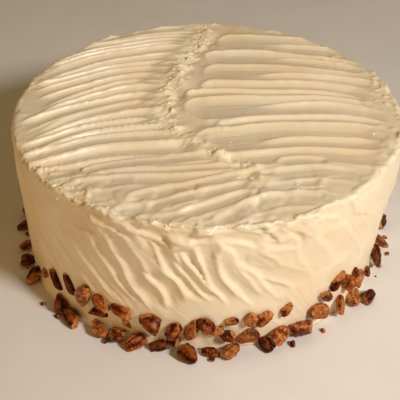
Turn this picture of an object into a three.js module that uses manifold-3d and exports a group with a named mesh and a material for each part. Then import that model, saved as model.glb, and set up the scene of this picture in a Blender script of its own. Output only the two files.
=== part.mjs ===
import * as THREE from 'three';
import { mergeVertices } from 'three/addons/utils/BufferGeometryUtils.js';
import Module from 'manifold-3d';

// A frosted three-layer cake, uncut, with chopped pecans pressed round its foot.
// Millimetres, +Z up, the origin at the centre of the flat base, the front towards -Y.

// Driving dimensions
const RIM_RADIUS = 116.5;
const HEIGHT = 90.5;
const FOOT_RADIUS = 110.5;
const FOOT_SHIFT = 2.5;
const EDGE_ROUND = 3.6;
const SKIRT_REACH = 2.5;
const SKIRT_HEIGHT = 5;
const SKIRT_WAVES = 5;
const SKIRT_UNEVEN = 0.35;
const GAP = 0.35;
const INNER_RADIUS = RIM_RADIUS - EDGE_ROUND;

// Mesh density of the frosting
const TOP_ROWS = 120;
const COLUMN_STEP = 12;
const SEAM_COLUMN_STEP = 6;
const RING_COLUMNS = 104;
const SIDE_RING_STEP = 9;
const COLUMN_SWEEP = THREE.MathUtils.degToRad(30);

const FROSTING_COLOUR = '#f2dfb8';
const PECAN_COLOURS = {
  dark: '#4a1f12', red: '#74301a', orange: '#a5562a', brown: '#8a4a28', tan: '#c08a55',
};

const wasm = await Module();
wasm.setup();

const { clamp, degToRad, smoothstep } = THREE.MathUtils;

// Repeatable uneven values: the same number for the same index and use, from 0 to 1
function draw(index, use) {
  const value = Math.sin(index * 12.9898 + use * 78.233) * 43758.5453;
  return value - Math.floor(value);
}

function spread(index, use, low, high) {
  return low + (high - low) * draw(index, use);
}

function mix(low, high, part) {
  return low + (high - low) * part;
}

// A bump that is 1 at its middle and falls away over about its width
function bump(distance, width) {
  return Math.exp(-((distance / width) ** 2));
}

// Spatula strokes

// A stroke is a shallow trough along a bowed line, with a raised lip round its edge. Its deepest
// line lies off its middle by the lean, in half widths.
function stroke(start, end, bow, halfWidth, depth, lip, form) {
  const length = Math.hypot(end[0] - start[0], end[1] - start[1]);
  return {
    start, length, bow, halfWidth, depth, lip,
    along: [(end[0] - start[0]) / length, (end[1] - start[1]) / length],
    lean: form.lean,
    level: form.level,
    fadeIn: form.fadeIn ?? 0,
    fadeOut: form.fadeOut ?? 0,
  };
}

// How far outside its lip a stroke still shapes the frosting, in half widths, and how its
// trough rises to the lip
const LIP_FALL = 1.55;
const LIP_SHARPNESS = 0.25;
const TROUGH_POWER = 1.5;

// How far a place inside the unit circle lies between the deepest point and the circle
function troughReach(over, side, lean) {
  const apart = Math.max(over ** 2 + (side - lean) ** 2, 1e-9);
  const towards = lean * (side - lean);
  return apart / (Math.sqrt(towards ** 2 + apart * (1 - lean ** 2)) - towards);
}

// Presses a stroke into a surface level at an offset from the stroke's start
function press(level, mark, dx, dy) {
  const along = dx * mark.along[0] + dy * mark.along[1];
  const part = clamp(along / mark.length, 0, 1);
  const across = dy * mark.along[0] - dx * mark.along[1] - 4 * mark.bow * part * (1 - part);
  const over = (along - part * mark.length) / mark.halfWidth;
  const side = across / mark.halfWidth;
  const reach = Math.hypot(over, side);
  if (reach >= LIP_FALL) return level;
  const rise = Math.min(troughReach(over, side, mark.lean), 1);
  const trough = mix(rise ** TROUGH_POWER, rise ** 8, LIP_SHARPNESS);
  const pressed = mark.level - mark.depth + (mark.depth + mark.lip) * trough;
  let hold = (1 - Math.max(0, reach - 1) / (LIP_FALL - 1)) ** 2;
  if (mark.fadeIn > 0) hold *= smoothstep(part, 0, mark.fadeIn);
  if (mark.fadeOut > 0) hold *= smoothstep(1 - part, 0, mark.fadeOut);
  return mix(level, pressed, hold);
}

// Strokes on the top, with places as fractions of the rim radius, from the back to the front

// Where the lips of the strokes on the left half cross x = -0.5
const LEFT_LIPS = [
  0.9, 0.83, 0.79, 0.74, 0.69, 0.65, 0.55, 0.465, 0.4, 0.32, 0.25, 0.185,
  0.095, 0.015, -0.07, -0.16, -0.225, -0.28, -0.355, -0.455,
];

// The right half: each stroke's lip height at x = 0.3 and where its left end starts
const RIGHT_LIPS = [
  [0.95, 0.25], [0.87, 0.05], [0.78, 0.2], [0.68, -0.015], [0.613, 0.22], [0.52, -0.02], [0.425, 0.13],
  [0.337, -0.02], [0.237, -0.1], [0.162, -0.11], [0.09, 0.12], [-0.055, 0.05], [-0.14, -0.075],
  [-0.28, 0.16], [-0.38, 0.06],
];

// Longer sweeps across the front: start x, y, end x, y, bow, half width
const FRONT_SWEEPS = [
  [-0.55, -0.57, 0.06, -0.43, 0.03, 0.035],
  [-0.5, -0.62, 0.27, -0.54, 0.035, 0.038],
  [-0.6, -0.7, 0.2, -0.6, 0.035, 0.045],
  [-0.3, -0.78, 0.26, -0.6, 0.035, 0.05],
  [-0.24, -0.84, 0.22, -0.67, 0.03, 0.04],
  [0.38, -0.485, 0.58, -0.49, 0.01, 0.042],
  [0.29, -0.6, 0.74, -0.58, 0.02, 0.055],
  [0.45, -0.655, 0.55, -0.645, 0, 0.03],
  [-0.13, -0.92, 0.21, -0.745, 0.02, 0.045],
  [-0.36, -0.87, -0.25, -0.84, 0, 0.05],
  [-0.2, -0.93, -0.12, -0.91, 0, 0.045],
  [0.08, -0.93, 0.62, -0.77, 0.06, 0.055],
];

const LEFT_DEPTH = 1.7;
const RIGHT_DEPTH = 1.5;
const FRONT_DEPTH = 0.9;
const LIP_SHARE = 0.6;
const TOP_LEAN = 0.5;

// Half widths: a share of the step to the next lip, and for the wide steps on the right a
// smaller share. No stroke is narrower than the narrowest, and narrow ones are shallower.
const OVERLAP_SHARE = 0.64;
const WIDE_SHARE = 0.5;
const NARROWEST = 0.027;
const FULL_DEPTH_WIDTH = 0.036;
const FIRST_START = 0.1;
const WIDE_STEP = 0.11;
const LAST_LEFT_STEP = 0.08;
const LAST_RIGHT_STEP = 0.1;

// At the back of the top and at its front: how far a stroke's left end lies below its middle,
// how far its right end lies above or below it, and how much it bows
const LEFT_START_DROP = [0.28, 0.19];
const LEFT_END_RISE = [0.045, 0.06];
const LEFT_BOW = [0.09, 0.07];
const RIGHT_START_DROP = [0.05, 0.03];
const RIGHT_END_DROP = [0.2, 0.08];
const RIGHT_END_LIFT = 0.08;
const RIGHT_BOW = [0.065, 0.03];

function onTop(x, y) {
  return [x * RIM_RADIUS, y * RIM_RADIUS];
}

// A stroke on the top, from fractions of the rim radius
function topStroke(start, end, bow, halfWidth, depth, form) {
  return stroke(onTop(...start), onTop(...end), bow * RIM_RADIUS, halfWidth * RIM_RADIUS,
    depth, depth * LIP_SHARE, { lean: TOP_LEAN, ...form });
}

// How far towards the front of the top a level is, from 0 at the back to 1
function towardsFront(level, from, to) {
  return clamp((from - level) / (from - to), 0, 1);
}

function leftStrokes() {
  return LEFT_LIPS.map((lip, index) => {
    const next = LEFT_LIPS[index + 1] ?? lip - LAST_LEFT_STEP;
    const halfWidth = Math.max(OVERLAP_SHARE * (lip - next), NARROWEST);
    const frontness = towardsFront(lip, 0.6, -0.6);
    const middle = lip - halfWidth;
    const drop = mix(...LEFT_START_DROP, frontness) + spread(index, 9, -0.012, 0.012);
    const start = [spread(index, 0, -0.98, -0.82), middle - drop];
    const end = [seamX(lip) + spread(index, 1, -0.1, 0.01), middle + mix(...LEFT_END_RISE, frontness)];
    const depth = LEFT_DEPTH * spread(index, 2, 0.6, 1.35) * Math.min(1, halfWidth / FULL_DEPTH_WIDTH);
    return topStroke(start, end, mix(...LEFT_BOW, frontness), halfWidth, depth,
      { level: spread(index, 3, -0.2, 0.3), fadeIn: 0.18, fadeOut: 0.1 });
  });
}

// On the right, strokes that start far from the seam lie in the wider stroke behind them
function rightStrokes() {
  return RIGHT_LIPS.map(([lip, startX], index) => {
    const inside = startX > FIRST_START;
    const later = RIGHT_LIPS.slice(index + 1).find(([, x]) => inside || x < FIRST_START);
    const step = later ? lip - later[0] : LAST_RIGHT_STEP;
    const share = step < WIDE_STEP ? OVERLAP_SHARE : WIDE_SHARE;
    const halfWidth = Math.max(share * step, NARROWEST);
    const frontness = towardsFront(lip, 0, -0.3);
    const middle = lip - halfWidth;
    const drop = mix(...RIGHT_END_DROP, towardsFront(lip, 0.6, -0.1)) - RIGHT_END_LIFT * frontness;
    const start = [startX + halfWidth, middle - mix(...RIGHT_START_DROP, frontness)];
    const end = [spread(index, 4, 0.86, 0.97), middle - drop];
    return topStroke(start, end, mix(...RIGHT_BOW, frontness), halfWidth,
      RIGHT_DEPTH * spread(index, 5, 0.75, 1.3),
      { level: spread(index, 6, -0.1, 0.4), fadeIn: inside ? 0.3 : 0, fadeOut: 0.22 });
  });
}

function frontStrokes() {
  return FRONT_SWEEPS.map(([startX, startY, endX, endY, bow, halfWidth], index) => (
    topStroke([startX, startY], [endX, endY], bow, halfWidth, FRONT_DEPTH * spread(index, 7, 0.8, 1.3),
      { level: spread(index, 8, 0, 0.4), fadeOut: 0.15 })
  ));
}

// The lumpy seam where the strokes of both halves meet, as x for a given y
function seamX(y) {
  return -0.015 - 0.185 * smoothstep(0.9 - y, 0, 0.75) + 0.44 * smoothstep(-0.1 - y, 0, 0.55);
}

const SEAM_BACK = 0.98;
const SEAM_FRONT = -0.62;
const SEAM_LUMPS = 34;
const PIT_SHARE = 0.3;

// Larger soft dabs on the seam: place, width and height
const SEAM_DABS = [
  [-0.13, 0.66, 4, 0.9], [-0.106, 0.56, 4, 0.9], [-0.15, 0.39, 5.5, 1.5], [-0.09, 0.42, 4, 0.9],
  [-0.12, 0.30, 5.5, 1.4], [-0.205, 0.174, 4, 1.0], [-0.21, 0.076, 4, 0.8], [-0.197, -0.015, 4, 0.9],
  [-0.21, -0.15, 3.5, 0.8], [-0.17, 0.27, 5, 1.1], [-0.19, 0.35, 4, 0.9], [0.02, 0.86, 3.5, 0.8],
];

// Torn peaks and pits along the seam
function seamLumps() {
  return Array.from({ length: SEAM_LUMPS }, (_, index) => {
    const y = mix(SEAM_BACK, SEAM_FRONT, (index + draw(index, 10)) / SEAM_LUMPS);
    const x = seamX(y) + spread(index, 11, -0.02, 0.07);
    const pit = draw(index, 12) < PIT_SHARE;
    const height = pit ? spread(index, 13, -1.2, -0.5) : spread(index, 13, 0.5, 1.6);
    return { place: onTop(x, y), width: spread(index, 14, 3, 6.5), height };
  });
}

const topStrokes = [...leftStrokes(), ...rightStrokes(), ...frontStrokes()];
const dabs = SEAM_DABS.map(([x, y, width, height]) => ({ place: onTop(x, y), width, height }));
const lumps = [...dabs, ...seamLumps()];

// A hand-held spatula wanders: the strokes are laid over slightly shifted places
function wander(x, y) {
  return [
    x + 1.2 * Math.sin(x / 23 + y / 31 + 1) + 0.7 * Math.sin(y / 11 - x / 17),
    y + 1.3 * Math.sin(x / 19 - y / 37 + 0.5) + 0.6 * Math.sin(x / 9 + y / 14 + 2),
  ];
}

// Height of the top above its mean level
function topRelief(placeX, placeY) {
  const [x, y] = wander(placeX, placeY);
  let level = 0;
  for (const mark of topStrokes) level = press(level, mark, x - mark.start[0], y - mark.start[1]);
  for (const lump of lumps) {
    level += lump.height * bump(Math.hypot(x - lump.place[0], y - lump.place[1]), lump.width);
  }
  return level;
}

// Strokes on the side, which run down to the right and are boldest at the front

// Angle from one direction to another, between minus and plus half a turn
function turnTo(from, to) {
  return Math.atan2(Math.sin(to - from), Math.cos(to - from));
}

// The front's strokes: angle and height share of the start and of the end, bow, half width, depth
const SIDE_SWEEPS = [
  [-137, 0.68, -120, 0.34, 2, 7, 0.7],
  [-131, 0.87, -112, 0.33, -2, 6.5, 0.8],
  [-123, 0.87, -106, 0.33, -2, 4.6, 1.0],
  [-115.5, 0.93, -101, 0.31, -4, 6.5, 1.4],
  [-102, 0.93, -90, 0.42, -5, 5.4, 1.5],
  [-106.5, 0.65, -98, 0.35, 3, 5.8, 1.8],
  [-97.6, 0.76, -87.5, 0.42, -1.5, 3.5, 1.3],
  [-95, 0.86, -86, 0.52, -1, 4.2, 1.7],
  [-89.6, 0.92, -82, 0.37, -4, 4.6, 1.5],
  [-84.8, 0.8, -74, 0.36, -3, 5, 1.3],
  [-80.5, 0.8, -66, 0.37, 3, 6.4, 1.3],
  [-75, 0.85, -61, 0.74, 3, 5.2, 0.9],
  [-73, 0.62, -61, 0.42, 2, 5.5, 0.6],
  [-64, 0.88, -53, 0.45, -3, 7, 0.6],
  [-56, 0.88, -44, 0.45, -3, 7, 0.5],
  [-87, 0.93, -76, 0.86, 1.5, 4.6, 1.3],
  [-124, 0.96, -108, 0.88, 2, 4.5, 1.2],
  [-113, 0.99, -97, 0.86, 3, 5, 1.5],
  [-102, 0.97, -87, 0.93, -2, 4, 1.3],
  [-79, 1.0, -65, 0.92, 2, 4.5, 1.5],
  [-76, 0.9, -63, 0.98, -3, 4.5, 1.2],
  [-62, 0.98, -49, 0.9, 2, 5, 1.0],
];

// The rest of the way round, by a rule
const REST_FROM = degToRad(-48);
const REST_TO = degToRad(218);
const REST_STROKES = 30;
const REST_HEADING = degToRad(-47);
const REST_DEPTH = 0.75;
const SIDE_LEAN = -0.5;

// A side stroke starts at an angle and a height, and runs over the unrolled side
function sideStroke(angle, share, heading, length, bow, halfWidth, depth, level) {
  const end = [Math.cos(heading) * length, Math.sin(heading) * length];
  const form = { lean: SIDE_LEAN, level, fadeIn: 0.25, fadeOut: 0.2 };
  const mark = stroke([0, 0], end, bow, halfWidth, depth, depth * LIP_SHARE, form);
  return { angle, height: share * HEIGHT, mark };
}

function frontSideStrokes() {
  return SIDE_SWEEPS.map(([angle, share, endAngle, endShare, bow, halfWidth, depth], index) => {
    const across = degToRad(endAngle - angle) * RIM_RADIUS;
    const down = (share - endShare) * HEIGHT;
    return sideStroke(degToRad(angle), share, Math.atan2(-down, across), Math.hypot(across, down),
      bow, halfWidth, depth, spread(index, 27, -0.2, 0.3));
  });
}

function restSideStrokes() {
  return Array.from({ length: REST_STROKES }, (_, index) => {
    const angle = mix(REST_FROM, REST_TO, (index + spread(index, 20, -0.3, 0.3)) / REST_STROKES);
    return sideStroke(angle, spread(index, 21, 0.78, 0.94), REST_HEADING + spread(index, 22, -0.25, 0.15),
      HEIGHT * spread(index, 23, 0.48, 0.72), spread(index, 24, -3, 5), spread(index, 25, 5.4, 8),
      REST_DEPTH * spread(index, 26, 0.7, 1.5), spread(index, 27, -0.3, 0.3));
  });
}

const sideStrokes = [...restSideStrokes(), ...frontSideStrokes()];

// How far the side stands out of its plain form at an angle and a height
function sideRelief(plainAngle, z) {
  const wide = 0.012 * Math.sin(z / 11 + 7 * plainAngle);
  const angle = plainAngle + wide + 0.006 * Math.sin(z / 5 - 19 * plainAngle);
  let level = 0;
  for (const { angle: from, height, mark } of sideStrokes) {
    const turn = turnTo(from, angle);
    if (Math.abs(turn) < 1) level = press(level, mark, turn * RIM_RADIUS, z - height);
  }
  const slow = 0.7 * Math.sin(2 * plainAngle + 0.6) + 0.5 * Math.sin(3 * plainAngle + z / 30 + 1.9);
  return level * smoothstep(z, SKIRT_HEIGHT, 3 * SKIRT_HEIGHT) + slow;
}

// The plain form under the strokes

const RIM_LUMPS = 76;

// Rounded folds and tears along the top edge
const rimLumps = Array.from({ length: RIM_LUMPS }, (_, index) => ({
  angle: (2 * Math.PI * (index + 1.8 * draw(index, 30))) / RIM_LUMPS,
  width: spread(index, 31, 2, 6.5) / RIM_RADIUS,
  height: spread(index, 32, -1, 1.3),
}));

// Larger folds of the edge, at the front and one on the right: angle in degrees, width, height
const RIM_FOLDS = [
  [-13, 7, 2.6], [-134, 5, 1.3], [-127, 5, -1.2], [-119, 5, 2.0], [-112, 6, -1.6], [-105, 5, 1.9],
  [-97, 6, -1.2], [-90, 5, 1.2], [-84, 6, -1.4], [-76, 7, 2.0], [-68, 6, -1.2], [-61, 6, 1.4],
];

function rimRelief(angle) {
  let level = 0;
  for (const [degrees, width, height] of RIM_FOLDS) {
    level += height * bump(turnTo(degToRad(degrees), angle), width / RIM_RADIUS);
  }
  for (const lump of rimLumps) level += lump.height * bump(turnTo(lump.angle, angle), lump.width);
  return level;
}

// The side bulges a little on the right
const BULGE = { angle: degToRad(-8), height: 0.72 * HEIGHT, reach: 3 };
const BULGE_SPREAD = { angle: 0.5, height: 0.22 * HEIGHT };

function plainRadius(angle, z) {
  const foot = FOOT_RADIUS - FOOT_SHIFT * Math.cos(angle);
  const uneven = 1 + SKIRT_UNEVEN * Math.sin(SKIRT_WAVES * angle + 0.4);
  const skirt = SKIRT_REACH * Math.exp(-z / SKIRT_HEIGHT) * uneven;
  const sideways = bump(turnTo(BULGE.angle, angle), BULGE_SPREAD.angle);
  const upright = bump(z - BULGE.height, BULGE_SPREAD.height);
  return mix(foot, RIM_RADIUS, z / HEIGHT) + skirt + BULGE.reach * sideways * upright;
}

function sideRadius(angle, z) {
  return plainRadius(angle, z) + sideRelief(angle, z);
}

function topPoint(x, y, grow) {
  return [x, y, HEIGHT + topRelief(x, y) + grow];
}

// A point on the rounded edge: turn goes from 0 at the top to 90 degrees at the side
function edgePoint(angle, turn, grow) {
  const out = EDGE_ROUND + grow + rimRelief(angle) * Math.sin(2 * turn);
  const side = Math.sin(turn) ** 2;
  const topLevel = topRelief(INNER_RADIUS * Math.cos(angle), INNER_RADIUS * Math.sin(angle));
  const z = HEIGHT - EDGE_ROUND + out * Math.cos(turn) + topLevel * (1 - side);
  const reach = sideRadius(angle, HEIGHT - EDGE_ROUND) - RIM_RADIUS;
  const radius = INNER_RADIUS + out * Math.sin(turn) + reach * side;
  return [radius * Math.cos(angle), radius * Math.sin(angle), z];
}

function sidePoint(angle, z, grow) {
  const radius = sideRadius(angle, z) + grow;
  return [radius * Math.cos(angle), radius * Math.sin(angle), z];
}

// Building the frosting's closed mesh

// Rows of the top run along the strokes: chords of the circle, turned and bowed
const ROW_TURN = degToRad(7);
const ROW_BOW_RADIUS = 1.6 * RIM_RADIUS;
const COLUMN_CLEARANCE = 0.35;

function columnPlaces() {
  const places = [];
  let x = -INNER_RADIUS;
  while (x < INNER_RADIUS) {
    const nearSeam = x > -0.36 * RIM_RADIUS && x < 0.1 * RIM_RADIUS;
    const step = nearSeam ? SEAM_COLUMN_STEP : COLUMN_STEP;
    x += step;
    places.push(x);
  }
  return places;
}

function topRow(index, columns) {
  const angle = Math.PI / 2 - ((index + 0.5) * Math.PI) / TOP_ROWS;
  const half = INNER_RADIUS * Math.cos(angle);
  const level = INNER_RADIUS * Math.sin(angle);
  const margin = COLUMN_CLEARANCE * COLUMN_STEP;
  const inner = columns.filter((x) => Math.abs(x) < half - margin);
  return [-half, ...inner, half].map((x) => {
    const bowed = level + (half * half - x * x) / (2 * ROW_BOW_RADIUS);
    return [
      x * Math.cos(ROW_TURN) - bowed * Math.sin(ROW_TURN),
      x * Math.sin(ROW_TURN) + bowed * Math.cos(ROW_TURN),
    ];
  });
}

// Collects points and triangles of one closed mesh
class MeshMaker {
  positions = [];
  triangles = [];

  add(points) {
    const first = this.positions.length;
    this.positions.push(...points);
    return points.map((_, index) => first + index);
  }

  // Fills the strip between two chains of points, given a measure along each chain
  strip(upper, upperPlaces, lower, lowerPlaces) {
    let i = 0;
    let k = 0;
    while (i < upper.length - 1 || k < lower.length - 1) {
      const lowerDone = k === lower.length - 1;
      const upperNext = upperPlaces[i + 1] ?? Infinity;
      const lowerNext = lowerPlaces[k + 1] ?? Infinity;
      if (lowerDone || upperNext < lowerNext) {
        this.triangles.push(upper[i], lower[k], upper[i + 1]);
        i += 1;
      } else {
        this.triangles.push(upper[i], lower[k], lower[k + 1]);
        k += 1;
      }
    }
  }

  geometry() {
    const geometry = new THREE.BufferGeometry();
    geometry.setAttribute('position', new THREE.Float32BufferAttribute(this.positions.flat(), 3));
    geometry.setIndex(this.triangles);
    return geometry;
  }
}

function fillTop(maker, grow) {
  const columns = columnPlaces();
  const ends = [];
  let back = null;
  for (let index = 0; index < TOP_ROWS; index += 1) {
    const places = topRow(index, columns);
    const row = maker.add(places.map(([x, y]) => topPoint(x, y, grow)));
    const measure = places.map(([x]) => x);
    if (back) maker.strip(back.row, back.measure, row, measure);
    back = { row, measure };
    for (const end of [0, places.length - 1]) {
      ends.push({ vertex: row[end], angle: Math.atan2(places[end][1], places[end][0]) });
    }
  }
  return ends.sort((a, b) => a.angle - b.angle);
}

// Turns of the rings on the rounded edge, and heights of the lowest rings in skirt heights
const EDGE_TURNS = [degToRad(36), degToRad(66)];
const FOOT_LEVELS = [2.4, 1.2, 0.4, 0];

function closed(loop) {
  return [...loop, loop[0]];
}

function sideLevels() {
  const levels = [];
  for (let z = HEIGHT - EDGE_ROUND; z > 3.2 * SKIRT_HEIGHT; z -= SIDE_RING_STEP) levels.push(z);
  return [...levels, ...FOOT_LEVELS.map((level) => level * SKIRT_HEIGHT)];
}

// The column angles of a ring, swept round as the strokes run down the side
function ringAngles(z) {
  const sweep = COLUMN_SWEEP * ((HEIGHT - z) / HEIGHT);
  const step = (2 * Math.PI) / RING_COLUMNS;
  return Array.from({ length: RING_COLUMNS }, (_, index) => sweep + index * step);
}

function frostingGeometry(grow) {
  const maker = new MeshMaker();
  const ends = fillTop(maker, grow);

  const rings = [];
  for (const turn of EDGE_TURNS) {
    rings.push(maker.add(ringAngles(HEIGHT).map((angle) => edgePoint(angle, turn, grow))));
  }
  for (const z of sideLevels()) {
    rings.push(maker.add(ringAngles(z).map((angle) => sidePoint(angle, z, grow))));
  }

  // The top's outer points and the first ring start from the same direction
  const ringPlaces = closed(ringAngles(HEIGHT));
  ringPlaces[RING_COLUMNS] += 2 * Math.PI;
  const firstEnd = ends.findIndex((end) => end.angle >= 0);
  const turned = [...ends.slice(firstEnd), ...ends.slice(0, firstEnd)];
  const endPlaces = closed(turned.map((end) => (end.angle + 2 * Math.PI) % (2 * Math.PI)));
  endPlaces[turned.length] += 2 * Math.PI;
  maker.strip(closed(turned.map((end) => end.vertex)), endPlaces, closed(rings[0]), ringPlaces);

  const steps = Array.from({ length: RING_COLUMNS + 1 }, (_, index) => index);
  for (let index = 0; index < rings.length - 1; index += 1) {
    maker.strip(closed(rings[index]), steps, closed(rings[index + 1]), steps.map((step) => step - 0.5));
  }

  const foot = closed(rings[rings.length - 1]);
  const [centre] = maker.add([[0, 0, 0]]);
  for (let index = 0; index < RING_COLUMNS; index += 1) {
    maker.triangles.push(centre, foot[index + 1], foot[index]);
  }
  return maker.geometry();
}

// Solids

const MERGE_WITHIN = 1e-4;

function solidFrom(geometry) {
  const bare = geometry.clone();
  bare.deleteAttribute('normal');
  bare.deleteAttribute('uv');
  const merged = mergeVertices(bare, MERGE_WITHIN);
  return new wasm.Manifold(new wasm.Mesh({
    numProp: 3,
    vertProperties: new Float32Array(merged.attributes.position.array),
    triVerts: new Uint32Array(merged.index.array),
  }));
}

function geometryFrom(solid) {
  const mesh = solid.getMesh();
  const geometry = new THREE.BufferGeometry();
  geometry.setAttribute('position', new THREE.BufferAttribute(mesh.vertProperties, 3));
  geometry.setIndex(new THREE.BufferAttribute(mesh.triVerts, 1));
  return geometry;
}

// Chopped pecans: angle in degrees, height of the middle, how far out from the side a piece lies
// on the ground (0 where it is stuck in the frosting), length, width, lean of the length in
// degrees, colour, and the side that shows
const PECANS = [
  [-178, 4.6, 5, 11, 6, 100, 'dark', 'skin'],
  [-168, 4.5, 4, 9, 6, 110, 'tan', 'broken'],
  [-160, 4.6, 4, 10, 7.5, 60, 'dark', 'skin'],
  [-152.5, 5.5, 4, 13, 8, -45, 'dark', 'skin'],
  [-139.5, 17, 0, 12, 6.6, -65, 'dark', 'skin'],
  [-136.5, 6.4, 3.6, 11, 8.4, -50, 'red', 'skin'],
  [-133, 22, 0, 13, 6.2, -65, 'dark', 'skin'],
  [-131, 4.4, 5.4, 14, 8, -12, 'red', 'skin'],
  [-126.5, 24.5, 0, 13, 8.6, 60, 'tan', 'broken'],
  [-122.5, 13, 0, 13.5, 6, 8, 'red', 'skin'],
  [-121, 5, 5, 12.5, 7, -10, 'tan', 'broken'],
  [-120.8, 22.8, 0, 12, 8, -30, 'orange', 'skin'],
  [-114.8, 21.5, 0, 12, 7, -12, 'orange', 'skin'],
  [-115.5, 6, 4.2, 9, 8.4, 0, 'dark', 'broken'],
  [-110, 5, 4.6, 12, 8.6, 50, 'orange', 'skin'],
  [-105.8, 19, 0, 12.5, 9.6, -35, 'red', 'skin'],
  [-103.5, 6.5, 3.2, 9, 5.6, 20, 'dark', 'skin'],
  [-98.8, 15, 0, 10.5, 7, 62, 'orange', 'skin'],
  [-94, 15.5, 0, 11, 7, 55, 'tan', 'broken'],
  [-94.2, 4.6, 7.6, 11.5, 9, -35, 'red', 'skin'],
  [-90, 20.5, 0, 10, 8.2, -55, 'red', 'skin'],
  [-88.6, 4.2, 4.2, 9.5, 5.6, -10, 'red', 'skin'],
  [-83.6, 11.5, 0, 9, 7, -20, 'dark', 'skin'],
  [-82.8, 4.4, 6.6, 10.5, 7, 40, 'orange', 'broken'],
  [-77.4, 9, 0, 12.5, 8, -5, 'brown', 'skin'],
  [-73.3, 20, 0, 11, 7, 55, 'orange', 'skin'],
  [-72.6, 4.8, 4.6, 9.5, 6, -75, 'dark', 'skin'],
  [-68, 7, 0, 12, 7.8, 30, 'orange', 'broken'],
  [-66, 22, 0, 9.5, 5.2, 70, 'orange', 'skin'],
  [-61, 7.5, 0, 15.5, 9, -10, 'red', 'broken'],
  [-54.6, 12.5, 0, 10.5, 9, 30, 'tan', 'broken'],
  [-51.5, 19.5, 0, 9.5, 6, -55, 'red', 'skin'],
  [-48, 26, 0, 11.5, 6.4, 60, 'dark', 'skin'],
  [-45.6, 6.8, 0, 12.5, 5.4, 42, 'tan', 'skin'],
  [-39.4, 4.8, 4.4, 9.5, 7, 50, 'tan', 'broken'],
  [-41, 17.5, 0, 9, 7, 60, 'orange', 'skin'],
  [-34.2, 12, 0, 11, 5.6, 60, 'orange', 'broken'],
  [-35, 4.4, 9.4, 11.5, 7, 0, 'dark', 'skin'],
  [-20.5, 9.5, 0, 15, 7.4, 80, 'dark', 'skin'],
  [-12, 7.5, 0, 13, 5.4, 75, 'brown', 'skin'],
];

// Pieces too small to be handled alone, stuck in the frosting: the same values
const SMALL_PECANS = [
  [-147, 13, 0, 6.5, 5.4, 20, 'tan', 'broken'],
  [-113, 12.5, 0, 7, 4.6, -70, 'tan', 'broken'],
  [-99.5, 5.5, 0, 7, 5.6, 0, 'dark', 'skin'],
  [-86.5, 15.5, 0, 7, 5, 0, 'tan', 'broken'],
  [-82.4, 21.5, 0, 7.5, 4.8, -10, 'red', 'skin'],
  [-77.4, 21.5, 0, 7.5, 5.6, 50, 'tan', 'broken'],
  [-44.6, 24, 0, 7, 5.4, 70, 'brown', 'skin'],
  [-37.6, 21, 0, 7, 5, -60, 'red', 'skin'],
  [-27.5, 6, 0, 7, 5, 40, 'brown', 'skin'],
];

// The back carries on the ring by a rule: larger pieces low down, mostly smaller ones above
const BACK_FROM = -3;
const BACK_TO = 178;
const BACK_PECANS = 19;
const BACK_SMALL_PECANS = 17;
const TONES = ['dark', 'red', 'orange', 'tan', 'brown', 'dark', 'red'];
const BACK_TILT = 70;

function backPecans() {
  return Array.from({ length: BACK_PECANS }, (_, index) => {
    const upper = index % 4 === 1;
    const part = (index + 0.5 + spread(index, 40, -0.2, 0.2)) / BACK_PECANS;
    const height = upper ? spread(index, 41, 15, 20) : spread(index, 41, 4.4, 8);
    const reach = upper ? 0 : spread(index, 43, 3.4, 6.5);
    const length = spread(index, 42, 10.5, 14.5);
    const width = length * spread(index, 44, 0.54, 0.74);
    const lean = spread(index, 45, -BACK_TILT, BACK_TILT);
    return [mix(BACK_FROM, BACK_TO, part), height, reach, length, width, lean,
      TONES[index % TONES.length], index % 4 === 2 ? 'broken' : 'skin'];
  });
}

function backSmallPecans() {
  return Array.from({ length: BACK_SMALL_PECANS }, (_, index) => {
    const part = (index + 0.3 + spread(index, 48, -0.2, 0.2)) / BACK_SMALL_PECANS;
    const length = spread(index, 49, 7, 11.5);
    const lean = spread(index, 47, -BACK_TILT, BACK_TILT);
    return [mix(BACK_FROM, BACK_TO, part), spread(index, 46, 12, 24), 0, length, 0.68 * length, lean,
      TONES[(index + 3) % TONES.length], index % 3 === 1 ? 'broken' : 'skin'];
  });
}

// A half's width and thickness against the piece's width, the share of its thickness in the
// dome of its back, and the groove down each side of the back
const HALF_WIDTH_SHARE = 0.57;
const THICKNESS_SHARE = 0.88;
const DOME_SHARE = 0.72;
const BLUNTNESS = 0.35;
const GROOVE_DEPTH = 0.22;
const GROOVE_PLACE = 0.7;
const GROOVE_WIDTH = 0.25;

// Half a pecan: a long dome with a groove down each side of its back, and a flatter inner face
function pecanHalf(halfLength, halfWidth, thickness, facets) {
  const geometry = new THREE.SphereGeometry(1, facets, facets / 2, Math.PI / 2);
  geometry.rotateZ(Math.PI / 2);
  const position = geometry.attributes.position;
  for (let index = 0; index < position.count; index += 1) {
    const x = position.getX(index);
    const y = position.getY(index);
    const z = position.getZ(index);
    const ring = Math.sqrt(Math.max(0, 1 - x * x));
    const groove = 1 - GROOVE_DEPTH * bump(Math.abs(y) - GROOVE_PLACE * ring, GROOVE_WIDTH);
    const blunt = ring > 0.01 ? ring ** -BLUNTNESS : 0;
    const height = z > 0 ? z * groove * DOME_SHARE : z * (1 - DOME_SHARE);
    position.setXYZ(index, x * halfLength, y * blunt * halfWidth, height * blunt * thickness);
  }
  return geometry;
}

// A block that holds what lies within a distance of the middle, along X turned by an angle
function cornerBlock(distance, turn, size) {
  const block = new THREE.BoxGeometry(size, size, size);
  block.translate(distance - size / 2, 0, 0);
  block.rotateZ(turn);
  return solidFrom(block);
}

const FACETS = 8;
const SMALL_FACETS = 6;
const SNAP_SLANT = 0.4;
const CORNER_SHARE = 0.65;
const CORNER_CUT = [0.55, 0.8];

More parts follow.
